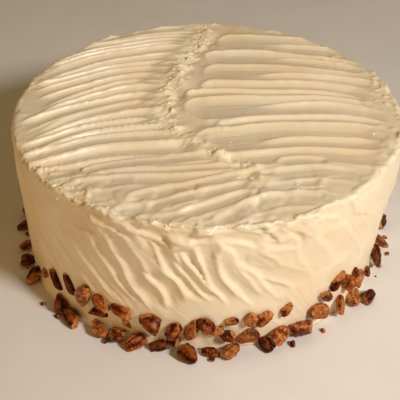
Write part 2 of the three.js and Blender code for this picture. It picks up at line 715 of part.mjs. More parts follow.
// One chopped piece, centred, its length along X and its skin facing +Z: the tapered end of a
// half, snapped off across its width, and most pieces with one corner chopped off too
function pecanPiece(length, width, index, facets) {
  const halfLength = length * spread(index, 50, 0.56, 0.8);
  const halfWidth = HALF_WIDTH_SHARE * width;
  const nut = pecanHalf(halfLength, halfWidth, THICKNESS_SHARE * width, facets);
  const side = draw(index, 51) < 0.5 ? 1 : -1;
  nut.translate(side * (halfLength - 0.5 * length), 0, 0);
  const block = new THREE.BoxGeometry(length, 2 * width, 2 * width);
  block.rotateZ(spread(index, 52, -SNAP_SLANT, SNAP_SLANT));
  block.rotateY(spread(index, 53, -SNAP_SLANT, SNAP_SLANT));
  const snapped = solidFrom(nut).intersect(solidFrom(block));
  if (draw(index, 55) >= CORNER_SHARE) return snapped;
  const turn = spread(index, 56, 0.6, 1.1);
  const support = Math.hypot(0.5 * length * Math.cos(turn), halfWidth * Math.sin(turn));
  const corner = draw(index, 57) < 0.5 ? turn : Math.PI - turn;
  return snapped.intersect(cornerBlock(support * spread(index, 58, ...CORNER_CUT), corner, 4 * length));
}

const LYING_BELOW = 6;
const STANDING_ABOVE = 12;
const LYING_TILT = 0.25;
const SHOWN_ROLL = { skin: 0, broken: degToRad(150) };
const PRESSED_IN = 1.3;

// How far a piece reaches from its middle, as shares of its length along it, of its width
// across it, and of its width towards its inner face and towards its skin
const ALONG_REACH = 0.46;
const ACROSS_REACH = 0.54;
const INNER_REACH = 0.25;
const SKIN_REACH = 0.6;

// How far a piece reaches from its middle against a direction, close enough for its placing
function reachAgainst(direction, long, side, face, length, width) {
  const thickness = (face.dot(direction) > 0 ? INNER_REACH : SKIN_REACH) * width;
  return Math.hypot(ALONG_REACH * length * long.dot(direction),
    ACROSS_REACH * width * side.dot(direction), thickness * face.dot(direction));
}

const ROLL_SPREAD = 0.5;

// Where a piece sits and how it is turned, as a matrix
function pecanPlace([angleDegrees, height, reach, length, width, lean, , shown], index) {
  const angle = degToRad(angleDegrees);
  const out = new THREE.Vector3(Math.cos(angle), Math.sin(angle), 0);
  const round = new THREE.Vector3(-Math.sin(angle), Math.cos(angle), 0);
  const standing = mix(LYING_TILT, 1, smoothstep(height, LYING_BELOW, STANDING_ABOVE));
  const face = new THREE.Vector3(0, 0, 1).lerp(out, standing).normalize();
  const uphill = new THREE.Vector3().crossVectors(face, round);
  const leaning = degToRad(lean);
  const long = round.clone().multiplyScalar(Math.cos(leaning)).addScaledVector(uphill, Math.sin(leaning));
  face.applyAxisAngle(long, SHOWN_ROLL[shown] + spread(index, 54, -ROLL_SPREAD, ROLL_SPREAD));
  const side = new THREE.Vector3().crossVectors(face, long);
  const inward = reachAgainst(out, long, side, face, length, width);
  const distance = plainRadius(angle, height) + Math.max(reach, inward - PRESSED_IN);
  const middle = out.multiplyScalar(distance).setZ(height);
  return new THREE.Matrix4().makeBasis(long, side, face).setPosition(middle);
}

const GROUND_CLEARANCE = 0.1;
const GAPS_OF_MARGIN = 2.4;
const GROUND_BLOCK = 60;

// Everything above the ground, as a block round the cake
function aboveGround() {
  const block = new THREE.BoxGeometry(4 * RIM_RADIUS, 4 * RIM_RADIUS, GROUND_BLOCK);
  block.translate(0, 0, GROUND_BLOCK / 2 + GROUND_CLEARANCE);
  return solidFrom(block);
}

// A piece in its place, and the same piece grown a little, which keeps the others clear of it
function pecan(row, index, facets) {
  const [, , reach, length, width] = row;
  const piece = pecanPiece(length, width, index, facets);
  const place = pecanPlace(row, index).elements;
  const growth = 1 + (GAPS_OF_MARGIN * GAP) / length;
  const placed = piece.transform(place);
  const drop = reach > 0 ? GROUND_CLEARANCE - placed.boundingBox().min[2] : 0;
  return {
    solid: placed.translate([0, 0, drop]),
    margin: piece.scale([growth, growth, growth]).transform(place).translate([0, 0, drop]),
  };
}

// The largest of the pieces that a cut leaves
function largest(solid) {
  const pieces = solid.decompose();
  return pieces.reduce((best, piece) => (piece.volume() > best.volume() ? piece : best));
}

const cake = new THREE.Group();

function addNode(name, solid, colour, roughness) {
  const material = new THREE.MeshStandardMaterial({ color: colour, roughness, metalness: 0 });
  const mesh = new THREE.Mesh(geometryFrom(solid), material);
  mesh.name = name;
  cake.add(mesh);
}

// The frosting with the small pieces that are stuck in it
const ground = aboveGround();
const smallRows = [...SMALL_PECANS, ...backSmallPecans()];
const SMALL_SEED = 100;
let frosting = solidFrom(frostingGeometry(0));
let taken = solidFrom(frostingGeometry(GAP));
smallRows.forEach((row, index) => {
  const { solid, margin } = pecan(row, index + SMALL_SEED, SMALL_FACETS);
  frosting = frosting.add(solid.intersect(ground));
  taken = taken.add(margin);
});
addNode('frosted_cake', largest(frosting), FROSTING_COLOUR, 0.55);

// The larger pieces, each cut back from the frosting and from the pieces before it
const largeRows = [...PECANS, ...backPecans()];
largeRows.forEach((row, index) => {
  const { solid, margin } = pecan(row, index, FACETS);
  const fitted = largest(solid.intersect(ground).subtract(taken));
  taken = taken.add(margin);
  addNode(`pecan_${String(index + 1).padStart(2, '0')}`, fitted, PECAN_COLOURS[row[6]], 0.4);
});

export default cake;
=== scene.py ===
import math

import bpy
import numpy as np
from mathutils import Matrix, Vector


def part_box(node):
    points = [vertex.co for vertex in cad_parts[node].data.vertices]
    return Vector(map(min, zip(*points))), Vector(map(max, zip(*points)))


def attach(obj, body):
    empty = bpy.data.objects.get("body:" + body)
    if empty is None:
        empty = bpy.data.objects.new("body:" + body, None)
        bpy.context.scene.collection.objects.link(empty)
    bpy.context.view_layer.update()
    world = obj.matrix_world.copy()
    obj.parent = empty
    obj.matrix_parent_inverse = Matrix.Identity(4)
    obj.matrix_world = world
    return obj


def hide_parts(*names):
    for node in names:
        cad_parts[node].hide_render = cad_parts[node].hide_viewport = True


# A frosted cake with chopped pecans round its foot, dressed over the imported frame.
# Shapes are worked out in millimetres in the frame's own axes, and stored in metres.

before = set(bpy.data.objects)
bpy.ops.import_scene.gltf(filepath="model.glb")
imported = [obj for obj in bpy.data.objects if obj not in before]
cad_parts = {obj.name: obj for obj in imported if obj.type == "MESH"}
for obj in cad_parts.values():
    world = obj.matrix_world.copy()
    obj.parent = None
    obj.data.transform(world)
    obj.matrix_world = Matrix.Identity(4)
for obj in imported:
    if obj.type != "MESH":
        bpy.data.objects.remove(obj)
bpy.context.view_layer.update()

MM = 0.001

# Driving dimensions, as in the frame's solids
RIM_RADIUS = 116.5
HEIGHT = 90.5
FOOT_RADIUS = 110.5
FOOT_SHIFT = 2.5
EDGE_ROUND = 3.6
SKIRT_REACH = 2.5
SKIRT_HEIGHT = 5.0
SKIRT_WAVES = 5
SKIRT_UNEVEN = 0.35
INNER_RADIUS = RIM_RADIUS - EDGE_ROUND

# Fineness of the frosting's mesh: rows of the top run along the strokes, turned and bowed
TOP_ROWS = 340
TOP_STEP = 1.2
ROW_TURN = math.radians(7)
ROW_BOW_RADIUS = 1.6 * RIM_RADIUS
COLUMNS = 560
EDGE_ROWS = 11
SIDE_ROWS = 68


# Plain helpers

def draw(index, use):
    """A repeatable uneven value from 0 to 1, the same for the same index and use."""
    value = math.sin(index * 12.9898 + use * 78.233) * 43758.5453
    return value - math.floor(value)


def spread(index, use, low, high):
    return low + (high - low) * draw(index, use)


def mix(low, high, part):
    return low + (high - low) * part


def clamp(value, low, high):
    return min(max(value, low), high)


def smoothstep(value, low, high):
    part = np.clip((value - low) / (high - low), 0, 1)
    return part * part * (3 - 2 * part)


def bump(distance, width):
    return np.exp(-((distance / width) ** 2))


# The phases of the waves are drawn from nearly a whole turn
PHASE_RANGE = 6.28


def ripple(value, seed):
    """Uneven fine waves along one measure, in millimetres, between about -1 and 1."""
    phase = PHASE_RANGE * draw(seed, 60)
    waves = np.sin(1.6 * value + phase) + 0.8 * np.sin(2.6 * value + 2 * phase)
    return (waves + 0.5 * np.sin(3.7 * value - phase)) / 2.3


def ridges(value, seed):
    """Uneven thin ridges along one measure, in millimetres, from 0 to about 1."""
    return np.maximum(0, ripple(0.7 * value, seed) - 0.35) / 0.5


# Odd factors that scatter the whole numbers of a place and its seed
CELL_FACTORS = (73856093, 19349663, 83492791)
SEED_FACTOR = 2654435
MIXING_FACTOR = 1274126177


def lattice(cells, seed):
    """Random values from -1 to 1 at whole-numbered places."""
    mixed = seed * SEED_FACTOR
    for axis, factor in enumerate(CELL_FACTORS):
        mixed = mixed ^ cells[..., axis] * factor
    mixed = (mixed ^ (mixed >> 13)) * MIXING_FACTOR & 0xFFFFFFFF
    mixed = (mixed ^ (mixed >> 16)) & 0xFFFF
    return mixed / 32767.5 - 1


def noise(points, seed):
    """Smooth random values from -1 to 1 over points of three coordinates."""
    cells = np.floor(points).astype(np.int64)
    part = points - cells
    part = part * part * (3 - 2 * part)
    total = np.zeros(points.shape[:-1])
    for corner in np.ndindex(2, 2, 2):
        weight = np.prod(np.where(corner, part, 1 - part), axis=-1)
        total += weight * lattice(cells + np.array(corner), seed)
    return total


def layered_noise(points, seed, layers=3):
    total = 0
    for layer in range(layers):
        total = total + noise(points * 2 ** layer, seed + layer) / 2 ** layer
    return total / 1.5


def flat_points(x, y, size):
    return np.stack([x / size, y / size, np.zeros_like(x)], axis=-1)


def polar(radius, angle, z):
    """Points at distances from the Z axis, angles and heights."""
    return np.stack([radius * np.cos(angle), radius * np.sin(angle), z + 0 * radius], axis=-1)


# Size of the folds, how far and over what length their lines wander, and how wide their edges are
FOLD_SIZE = 11
FOLD_WANDER = 6
FOLD_WANDER_SIZE = 12
FOLD_EDGE = 0.12


def folds(place, seed):
    """Overlapping layers: steps of level along wandering lines, from about -0.9 to 0.9."""
    shift = np.stack([noise(place / FOLD_WANDER_SIZE, seed + axis) for axis in range(3)], axis=-1)
    level = noise((place + FOLD_WANDER * shift) / FOLD_SIZE, seed + 3)
    return smoothstep(level, -FOLD_EDGE, FOLD_EDGE) - 0.5 + 0.4 * level


# Spatula strokes

def stroke(start, end, bow, half_width, depth, lip, lean=0.0, level=0.0, fade_in=0.0, fade_out=0.0):
    """A shallow trough along a bowed line, with a raised lip round its edge.

    Its deepest line lies off its middle by the lean, in half widths.
    """
    length = math.hypot(end[0] - start[0], end[1] - start[1])
    along = ((end[0] - start[0]) / length, (end[1] - start[1]) / length)
    return {
        "start": start, "length": length, "along": along, "bow": bow, "half_width": half_width,
        "depth": depth, "lip": lip, "lean": lean, "level": level,
        "fade_in": fade_in, "fade_out": fade_out,
    }


# How far outside its lip a stroke still shapes the frosting, in half widths
LIP_FALL = 1.55

# The trough is a mix of a wide bowl and a sharp edge
LIP_SHARPNESS = 0.25
TROUGH_POWER = 1.5
EDGE_POWER = 8

# Unevenness of the lip along the stroke, and streaks in the trough, in millimetres
LIP_UNEVEN = 0.22
LIP_WAVE = 5
STREAK_DEPTH = 0.05
STREAK_RIDGE = 0.2
STREAK_WANDER = 0.4
STREAK_WANDER_LENGTH = 9


def trough_reach(over, side, lean):
    """How far a place inside the unit circle lies between the deepest point and the circle."""
    apart = np.maximum(over ** 2 + (side - lean) ** 2, 1e-9)
    towards = lean * (side - lean)
    return apart / (np.sqrt(towards ** 2 + apart * (1 - lean ** 2)) - towards)


def press(level, mark, dx, dy, seed):
    """Presses a stroke, with its fine streaks, into the level at offsets from its start."""
    along = dx * mark["along"][0] + dy * mark["along"][1]
    part = np.clip(along / mark["length"], 0, 1)
    across = dy * mark["along"][0] - dx * mark["along"][1] - 4 * mark["bow"] * part * (1 - part)
    over = (along - part * mark["length"]) / mark["half_width"]
    side = across / mark["half_width"]
    reach = np.hypot(over, side)
    inside = np.minimum(reach, 1)
    lip = mark["lip"] * (1 + LIP_UNEVEN * ripple(along / LIP_WAVE, seed + 7))
    rise = np.minimum(trough_reach(over, side, mark["lean"]), 1)
    trough = mix(rise ** TROUGH_POWER, rise ** EDGE_POWER, LIP_SHARPNESS)
    pressed = mark["level"] - mark["depth"] + (mark["depth"] + lip) * trough
    streak_place = across + STREAK_WANDER * np.sin(along / STREAK_WANDER_LENGTH)
    streaks = STREAK_DEPTH * ripple(streak_place, seed)
    streaks = streaks + STREAK_RIDGE * ridges(streak_place, seed + 3)
    pressed = pressed + streaks * (1 - inside ** 4)
    hold = (1 - np.clip((reach - 1) / (LIP_FALL - 1), 0, 1)) ** 2
    if mark["fade_in"] > 0:
        hold = hold * smoothstep(part, 0, mark["fade_in"])
    if mark["fade_out"] > 0:
        hold = hold * smoothstep(1 - part, 0, mark["fade_out"])
    return mix(level, pressed, hold)


# Strokes on the top, with places as fractions of the rim radius, from the back to the front

# Where the lips of the strokes on the left half cross x = -0.5
LEFT_LIPS = [
    0.9, 0.83, 0.79, 0.74, 0.69, 0.65, 0.55, 0.465, 0.4, 0.32, 0.25, 0.185,
    0.095, 0.015, -0.07, -0.16, -0.225, -0.28, -0.355, -0.455,
]

# The right half: each stroke's lip height at x = 0.3 and where its left end starts
RIGHT_LIPS = [
    (0.95, 0.25), (0.87, 0.05), (0.78, 0.2), (0.68, -0.015), (0.613, 0.22), (0.52, -0.02), (0.425, 0.13),
    (0.337, -0.02), (0.237, -0.1), (0.162, -0.11), (0.09, 0.12), (-0.055, 0.05), (-0.14, -0.075),
    (-0.28, 0.16), (-0.38, 0.06),
]

# Longer sweeps across the front: start x, y, end x, y, bow, half width
FRONT_SWEEPS = [
    (-0.55, -0.57, 0.06, -0.43, 0.03, 0.035),
    (-0.5, -0.62, 0.27, -0.54, 0.035, 0.038),
    (-0.6, -0.7, 0.2, -0.6, 0.035, 0.045),
    (-0.3, -0.78, 0.26, -0.6, 0.035, 0.05),
    (-0.24, -0.84, 0.22, -0.67, 0.03, 0.04),
    (0.38, -0.485, 0.58, -0.49, 0.01, 0.042),
    (0.29, -0.6, 0.74, -0.58, 0.02, 0.055),
    (0.45, -0.655, 0.55, -0.645, 0, 0.03),
    (-0.13, -0.92, 0.21, -0.745, 0.02, 0.045),
    (-0.36, -0.87, -0.25, -0.84, 0, 0.05),
    (-0.2, -0.93, -0.12, -0.91, 0, 0.045),
    (0.08, -0.93, 0.62, -0.77, 0.06, 0.055),
]

LEFT_DEPTH = 1.7
RIGHT_DEPTH = 1.5
FRONT_DEPTH = 0.9
LIP_SHARE = 0.6
TOP_LEAN = 0.5

# Half widths: a share of the step to the next lip, and for the wide steps on the right a
# smaller share. No stroke is narrower than the narrowest, and narrow ones are shallower.
OVERLAP_SHARE = 0.64
WIDE_SHARE = 0.5
NARROWEST = 0.027
FULL_DEPTH_WIDTH = 0.036
FIRST_START = 0.1
WIDE_STEP = 0.11
LAST_LEFT_STEP = 0.08
LAST_RIGHT_STEP = 0.1

# At the back of the top and at its front: how far a stroke's left end lies below its middle,
# how far its right end lies above or below it, and how much it bows
LEFT_START_DROP = (0.28, 0.19)
LEFT_END_RISE = (0.045, 0.06)
LEFT_BOW = (0.09, 0.07)
RIGHT_START_DROP = (0.05, 0.03)
RIGHT_END_DROP = (0.2, 0.08)
RIGHT_END_LIFT = 0.08
RIGHT_BOW = (0.065, 0.03)


def on_top(x, y):
    return (x * RIM_RADIUS, y * RIM_RADIUS)


def top_stroke(start, end, bow, half_width, depth, **fade):
    """A stroke on the top, from fractions of the rim radius."""
    return stroke(on_top(*start), on_top(*end), bow * RIM_RADIUS, half_width * RIM_RADIUS,
                  depth, depth * LIP_SHARE, TOP_LEAN, **fade)


def seam_x(y):
    """The lumpy seam where the strokes of both halves meet, as x for a given y."""
    return -0.015 - 0.185 * smoothstep(0.9 - y, 0, 0.75) + 0.44 * smoothstep(-0.1 - y, 0, 0.55)


def towards_front(level, start, end):
    """How far towards the front of the top a level is, from 0 at the back to 1."""
    return clamp((start - level) / (start - end), 0, 1)


def left_strokes():
    for index, lip in enumerate(LEFT_LIPS):
        following = LEFT_LIPS[index + 1] if index + 1 < len(LEFT_LIPS) else lip - LAST_LEFT_STEP
        half_width = max(OVERLAP_SHARE * (lip - following), NARROWEST)
        frontness = towards_front(lip, 0.6, -0.6)
        middle = lip - half_width
        drop = mix(*LEFT_START_DROP, frontness) + spread(index, 9, -0.012, 0.012)
        start = (spread(index, 0, -0.98, -0.82), middle - drop)
        end = (seam_x(lip) + spread(index, 1, -0.1, 0.01), middle + mix(*LEFT_END_RISE, frontness))
        depth = LEFT_DEPTH * spread(index, 2, 0.6, 1.35) * min(1, half_width / FULL_DEPTH_WIDTH)
        yield top_stroke(start, end, mix(*LEFT_BOW, frontness), half_width, depth,
                         level=spread(index, 3, -0.2, 0.3), fade_in=0.18, fade_out=0.17)


def right_strokes():
    """On the right, strokes that start far from the seam lie in the wider stroke behind them."""
    for index, (lip, start_x) in enumerate(RIGHT_LIPS):
        inside = start_x > FIRST_START
        later = [level for level, x in RIGHT_LIPS[index + 1:] if inside or x < FIRST_START]
        step = lip - later[0] if later else LAST_RIGHT_STEP
        share = OVERLAP_SHARE if step < WIDE_STEP else WIDE_SHARE
        half_width = max(share * step, NARROWEST)
        frontness = towards_front(lip, 0, -0.3)
        middle = lip - half_width
        drop = mix(*RIGHT_END_DROP, towards_front(lip, 0.6, -0.1)) - RIGHT_END_LIFT * frontness
        start = (start_x + half_width, middle - mix(*RIGHT_START_DROP, frontness))
        end = (spread(index, 4, 0.86, 0.97), middle - drop)
        depth = RIGHT_DEPTH * spread(index, 5, 0.75, 1.3)
        yield top_stroke(start, end, mix(*RIGHT_BOW, frontness), half_width, depth,
                         level=spread(index, 6, -0.1, 0.4),
                         fade_in=0.3 if inside else 0, fade_out=0.22)


def front_strokes():
    for index, (start_x, start_y, end_x, end_y, bow, half_width) in enumerate(FRONT_SWEEPS):
        depth = FRONT_DEPTH * spread(index, 7, 0.8, 1.3)
        yield top_stroke((start_x, start_y), (end_x, end_y), bow, half_width, depth,
                         level=spread(index, 8, 0, 0.4), fade_out=0.15)


# The seam runs from the back towards the front, with small lumps and pits on it
SEAM_BACK = 0.98
SEAM_FRONT = -0.62
SEAM_LUMPS = 34
LUMP_WIDTHS = (3, 6.5)
LUMP_HEIGHTS = (0.5, 1.6)
PIT_HEIGHTS = (-1.2, -0.5)
PIT_SHARE = 0.3

# Larger soft dabs on the seam: place as fractions of the rim radius, width and height
SEAM_DABS = [
    (-0.13, 0.66, 4, 0.9), (-0.106, 0.56, 4, 0.9), (-0.15, 0.39, 5.5, 1.5), (-0.09, 0.42, 4, 0.9),
    (-0.12, 0.30, 5.5, 1.4), (-0.205, 0.174, 4, 1.0), (-0.21, 0.076, 4, 0.8), (-0.197, -0.015, 4, 0.9),
    (-0.21, -0.15, 3.5, 0.8), (-0.17, 0.27, 5, 1.1), (-0.19, 0.35, 4, 0.9), (0.02, 0.86, 3.5, 0.8),
]


def seam_lumps():
    """Torn peaks and pits along the seam, as place, width and height."""
    lumps = [(on_top(x, y), width, height) for x, y, width, height in SEAM_DABS]
    for index in range(SEAM_LUMPS):
        y = mix(SEAM_BACK, SEAM_FRONT, (index + draw(index, 10)) / SEAM_LUMPS)
        x = seam_x(y) + spread(index, 11, -0.02, 0.07)
        pit = draw(index, 12) < PIT_SHARE
        height = spread(index, 13, *(PIT_HEIGHTS if pit else LUMP_HEIGHTS))
        lumps.append((on_top(x, y), spread(index, 14, *LUMP_WIDTHS), height))
    return lumps


TOP_STROKES = [*left_strokes(), *right_strokes(), *front_strokes()]
LUMPS = seam_lumps()


def wander(x, y):
    """A hand-held spatula wanders: the strokes are laid over slightly shifted places."""
    shift_x = 1.2 * np.sin(x / 23 + y / 31 + 1) + 0.7 * np.sin(y / 11 - x / 17)
    shift_y = 1.3 * np.sin(x / 19 - y / 37 + 0.5) + 0.6 * np.sin(x / 9 + y / 14 + 2)
    return x + shift_x, y + shift_y


def top_relief(place_x, place_y):
    """Height of the top above its mean level."""
    x, y = wander(place_x, place_y)
    level = np.zeros_like(x)
    for index, mark in enumerate(TOP_STROKES):
        level = press(level, mark, x - mark["start"][0], y - mark["start"][1], index)
    for place, width, height in LUMPS:
        level = level + height * bump(np.hypot(x - place[0], y - place[1]), width)
    return level + top_tears(place_x, place_y)


# Rough, torn places on the top: x, y, reach and height, as fractions of the rim radius and in mm
ROUGH_PATCHES = [
    (0.68, 0.55, 0.1, 0.9), (0.9, 0.1, 0.1, 0.8), (0.86, -0.2, 0.08, 0.6), (-0.62, -0.7, 0.14, 0.9),
    (-0.74, -0.52, 0.1, 0.5), (0.42, -0.72, 0.09, 0.5), (0.08, -0.24, 0.1, 0.5), (0.2, -0.6, 0.07, 0.6),
]

# Torn frosting on the seam, as far as the front, and near the rim
TEAR_BAND = 0.055
TEAR_HEIGHT = 1.8
TEARS_END = (-0.75, -0.3)
RIM_BAND = 0.95
RIM_BAND_WIDTH = 0.045
RIM_TEAR_HEIGHT = 0.6
BIT_HEIGHT = 2.0
CURD_HEIGHT = 0.9

# Softer unevenness on the seam, and a slow rise towards it from the left
SEAM_UNEVEN = 1.3
SEAM_FILL = 0.9
FILL_END = (-0.5, -0.1)

# Folds on the front of the top, and a fine grain everywhere
TOP_FOLDS = 0.8
FOLDS_START = (0.35, 0.8)
GRAIN = 0.06


def clumps(x, y, size, seed, above, layers=3):
    """Lumps of a size, where the noise rises above a level."""
    return np.maximum(0, layered_noise(flat_points(x, y, size), seed, layers) - above)


def torn_height(x, y, unit_x, unit_y, from_seam):
    """Torn bits along the seam, in the rough patches and near the rim."""
    rough = TEAR_HEIGHT * bump(from_seam, TEAR_BAND) * smoothstep(unit_y, *TEARS_END)
    for patch_x, patch_y, reach, height in ROUGH_PATCHES:
        rough = rough + height * bump(np.hypot(unit_x - patch_x, unit_y - patch_y), reach)
    near_rim = bump(np.hypot(unit_x, unit_y) - RIM_BAND, RIM_BAND_WIDTH)
    rough = rough + RIM_TEAR_HEIGHT * near_rim * rim_roughness(np.arctan2(y, x))
    return rough * (BIT_HEIGHT * clumps(x, y, 4.2, 11, 0.1) + CURD_HEIGHT * clumps(x, y, 2.2, 13, 0.2, 2))


def top_tears(x, y):
    """What a spatula leaves between its strokes: tears, lumps, folds and a fine grain."""
    unit_x, unit_y = x / RIM_RADIUS, y / RIM_RADIUS
    from_seam = unit_x - seam_x(unit_y)
    filled = SEAM_FILL * smoothstep(from_seam, -0.6, -0.15) * smoothstep(-from_seam, -0.02, 0.15)
    filled = filled * smoothstep(unit_y, *FILL_END)
    lumps = SEAM_UNEVEN * bump(from_seam + 0.01, 0.08) * layered_noise(flat_points(x, y, 6.5), 17)
    folded = TOP_FOLDS * smoothstep(-unit_y, *FOLDS_START) * folds(flat_points(x, y, 1.0), 111)
    fine = GRAIN * layered_noise(flat_points(x, y, 3.0), 5)
    return filled + lumps + torn_height(x, y, unit_x, unit_y, from_seam) + fine + folded


# Strokes on the side, which run down to the right and are boldest at the front

def turn_to(start, end):
    """Angle from one direction to another, between minus and plus half a turn."""
    return np.arctan2(np.sin(end - start), np.cos(end - start))


# The front's strokes: angle and height share of the start and of the end, bow, half width, depth
SIDE_SWEEPS = [
    (-137, 0.68, -120, 0.34, 2, 7, 0.7),
    (-131, 0.87, -112, 0.33, -2, 6.5, 0.8),
    (-123, 0.87, -106, 0.33, -2, 4.6, 1.0),
    (-115.5, 0.93, -101, 0.31, -4, 6.5, 1.4),
    (-102, 0.93, -90, 0.42, -5, 5.4, 1.5),
    (-106.5, 0.65, -98, 0.35, 3, 5.8, 1.8),
    (-97.6, 0.76, -87.5, 0.42, -1.5, 3.5, 1.3),
    (-95, 0.86, -86, 0.52, -1, 4.2, 1.7),
    (-89.6, 0.92, -82, 0.37, -4, 4.6, 1.5),
    (-84.8, 0.8, -74, 0.36, -3, 5, 1.3),
    (-80.5, 0.8, -66, 0.37, 3, 6.4, 1.3),
    (-75, 0.85, -61, 0.74, 3, 5.2, 0.9),
    (-73, 0.62, -61, 0.42, 2, 5.5, 0.6),
    (-64, 0.88, -53, 0.45, -3, 7, 0.6),
    (-56, 0.88, -44, 0.45, -3, 7, 0.5),
    (-87, 0.93, -76, 0.86, 1.5, 4.6, 1.3),
    (-124, 0.96, -108, 0.88, 2, 4.5, 1.2),
    (-113, 0.99, -97, 0.86, 3, 5, 1.5),
    (-102, 0.97, -87, 0.93, -2, 4, 1.3),
    (-79, 1.0, -65, 0.92, 2, 4.5, 1.5),
    (-76, 0.9, -63, 0.98, -3, 4.5, 1.2),
    (-62, 0.98, -49, 0.9, 2, 5, 1.0),
]

# The rest of the way round, by a rule
REST_FROM = math.radians(-48)
REST_TO = math.radians(218)
REST_STROKES = 30
REST_HEADING = math.radians(-47)
REST_DEPTH = 0.75
SIDE_LEAN = -0.5


def side_stroke(angle, share, heading, length, bow, half_width, depth, level):
    """A side stroke starts at an angle and a height, and runs over the unrolled side."""
    end = (math.cos(heading) * length, math.sin(heading) * length)
    mark = stroke((0, 0), end, bow, half_width, depth, depth * LIP_SHARE, SIDE_LEAN, level,
                  fade_in=0.25, fade_out=0.2)
    return angle, share * HEIGHT, mark


def front_side_strokes():
    for index, row in enumerate(SIDE_SWEEPS):
        angle, share, end_angle, end_share, bow, half_width, depth = row
        across = math.radians(end_angle - angle) * RIM_RADIUS
        down = (share - end_share) * HEIGHT
        level = spread(index, 27, -0.2, 0.3)
        yield side_stroke(math.radians(angle), share, math.atan2(-down, across),
                          math.hypot(across, down), bow, half_width, depth, level)


def rest_side_strokes():
    for index in range(REST_STROKES):
        angle = mix(REST_FROM, REST_TO, (index + spread(index, 20, -0.3, 0.3)) / REST_STROKES)
        share = spread(index, 21, 0.78, 0.94)
        heading = REST_HEADING + spread(index, 22, -0.25, 0.15)
        length = HEIGHT * spread(index, 23, 0.48, 0.72)
        bow = spread(index, 24, -3, 5)
        half_width = spread(index, 25, 5.4, 8)
        depth = REST_DEPTH * spread(index, 26, 0.7, 1.5)
        level = spread(index, 27, -0.3, 0.3)
        yield side_stroke(angle, share, heading, length, bow, half_width, depth, level)


SIDE_STROKES = [*rest_side_strokes(), *front_side_strokes()]
SIDE_SEED = 200

# Faint streaks down the side, and its uneven skin
SIDE_STREAK = 0.1
SIDE_RIDGE = 0.3
SIDE_STREAK_HEADING = math.radians(-50)
SIDE_GRAIN = 0.09

# Folds all round the side, and stronger ones under the front of the edge
SIDE_FOLDS = 0.3
FRONT_FOLDS = 1.9
FOLDED_ANGLE = math.radians(-86)
FOLDED_REACH = math.radians(42)
FOLDED_HEIGHT = 0.92 * HEIGHT
FOLDED_BAND = 0.16 * HEIGHT


def side_relief(plain_angle, z):
    """How far the side stands out of its plain form at an angle and a height."""
    slow_sway = 0.012 * np.sin(z / 11 + 7 * plain_angle)
    quick_sway = 0.006 * np.sin(z / 5 - 19 * plain_angle)
    angle = plain_angle + slow_sway + quick_sway
    level = np.zeros_like(angle)
    for index, (start, height, mark) in enumerate(SIDE_STROKES):
        across = turn_to(start, angle) * RIM_RADIUS
        level = press(level, mark, across, z - height, SIDE_SEED + index)
    slow = 0.7 * np.sin(2 * plain_angle + 0.6) + 0.5 * np.sin(3 * plain_angle + z / 30 + 1.9)
    return level * smoothstep(z, SKIRT_HEIGHT, 3 * SKIRT_HEIGHT) + slow + side_grain(plain_angle, z)


def side_grain(angle, z):
    """Faint streaks of the spatula down the side, an uneven skin, and folds at the front."""
    place = polar(RIM_RADIUS, angle, z)
    across = -angle * RIM_RADIUS * math.sin(SIDE_STREAK_HEADING) + z * math.cos(SIDE_STREAK_HEADING)
    strength = smoothstep(noise(place / 21, 31), -0.5, 0.5)
    across = across + 2.5 * noise(place / 19, 33)
    streaks = SIDE_STREAK * ripple(0.8 * across, 90) + SIDE_RIDGE * ridges(0.75 * across, 91)
    front = bump(turn_to(FOLDED_ANGLE, angle), FOLDED_REACH) * bump(z - FOLDED_HEIGHT, FOLDED_BAND)
    folded = (SIDE_FOLDS + FRONT_FOLDS * front) * folds(place, 101)
    return streaks * strength + SIDE_GRAIN * layered_noise(place / 6, 35) + folded


# The plain form under the strokes

RIM_LUMPS = 76

# Larger folds of the edge, at the front and one on the right: angle in degrees, width, height
RIM_FOLDS = [
    (-13, 7, 2.6), (-134, 5, 1.3), (-127, 5, -1.2), (-119, 5, 2.0), (-112, 6, -1.6), (-105, 5, 1.9),
    (-97, 6, -1.2), (-90, 5, 1.2), (-84, 6, -1.4), (-76, 7, 2.0), (-68, 6, -1.2), (-61, 6, 1.4),
]


def rim_relief(angle):
    """Rounded folds and tears along the top edge."""
    level = 0
    for degrees, width, height in RIM_FOLDS:
        level = level + height * bump(turn_to(math.radians(degrees), angle), width / RIM_RADIUS)
    for index in range(RIM_LUMPS):
        middle = 2 * math.pi * (index + 1.8 * draw(index, 30)) / RIM_LUMPS
        width = spread(index, 31, 2, 6.5) / RIM_RADIUS
        level = level + spread(index, 32, -1, 1.3) * bump(turn_to(middle, angle), width)
    return level


# Torn places of the edge: a little everywhere, more at these angles, with reach and height
RIM_ROUGH = 0.45
RIM_ROUGH_PLACES = [(-134, 22, 1.5), (-92, 28, 0.9), (-15, 14, 1.2), (20, 10, 0.8), (160, 14, 0.7)]


def rim_roughness(angle):
    strength = RIM_ROUGH
    for degrees, reach, height in RIM_ROUGH_PLACES:
        apart = turn_to(math.radians(degrees), angle)
        strength = strength + height * bump(apart, math.radians(reach))
    return strength


# Curls that cross the edge: angle in degrees, turn over the edge, half width, height
RIM_CURLS = [
    (-126, 0.7, 6, 1.6), (-117, 0.5, 8, 1.5), (-108, 0.9, 8, 1.7), (-99, 0.5, 6, 1.3), (-92, 1.0, 8, 1.5),
    (-85, 0.5, 7, 1.6), (-77, 0.9, 9, 1.8), (-69, 0.5, 7, 1.5), (-62, 0.9, 6, 1.2),
]
CURL_SLANT = 0.9
CURL_STRETCH = 1.4
CURL_EDGE = 0.22

# Length over the rounded edge for each radian of turn
TURN_LENGTH = 6


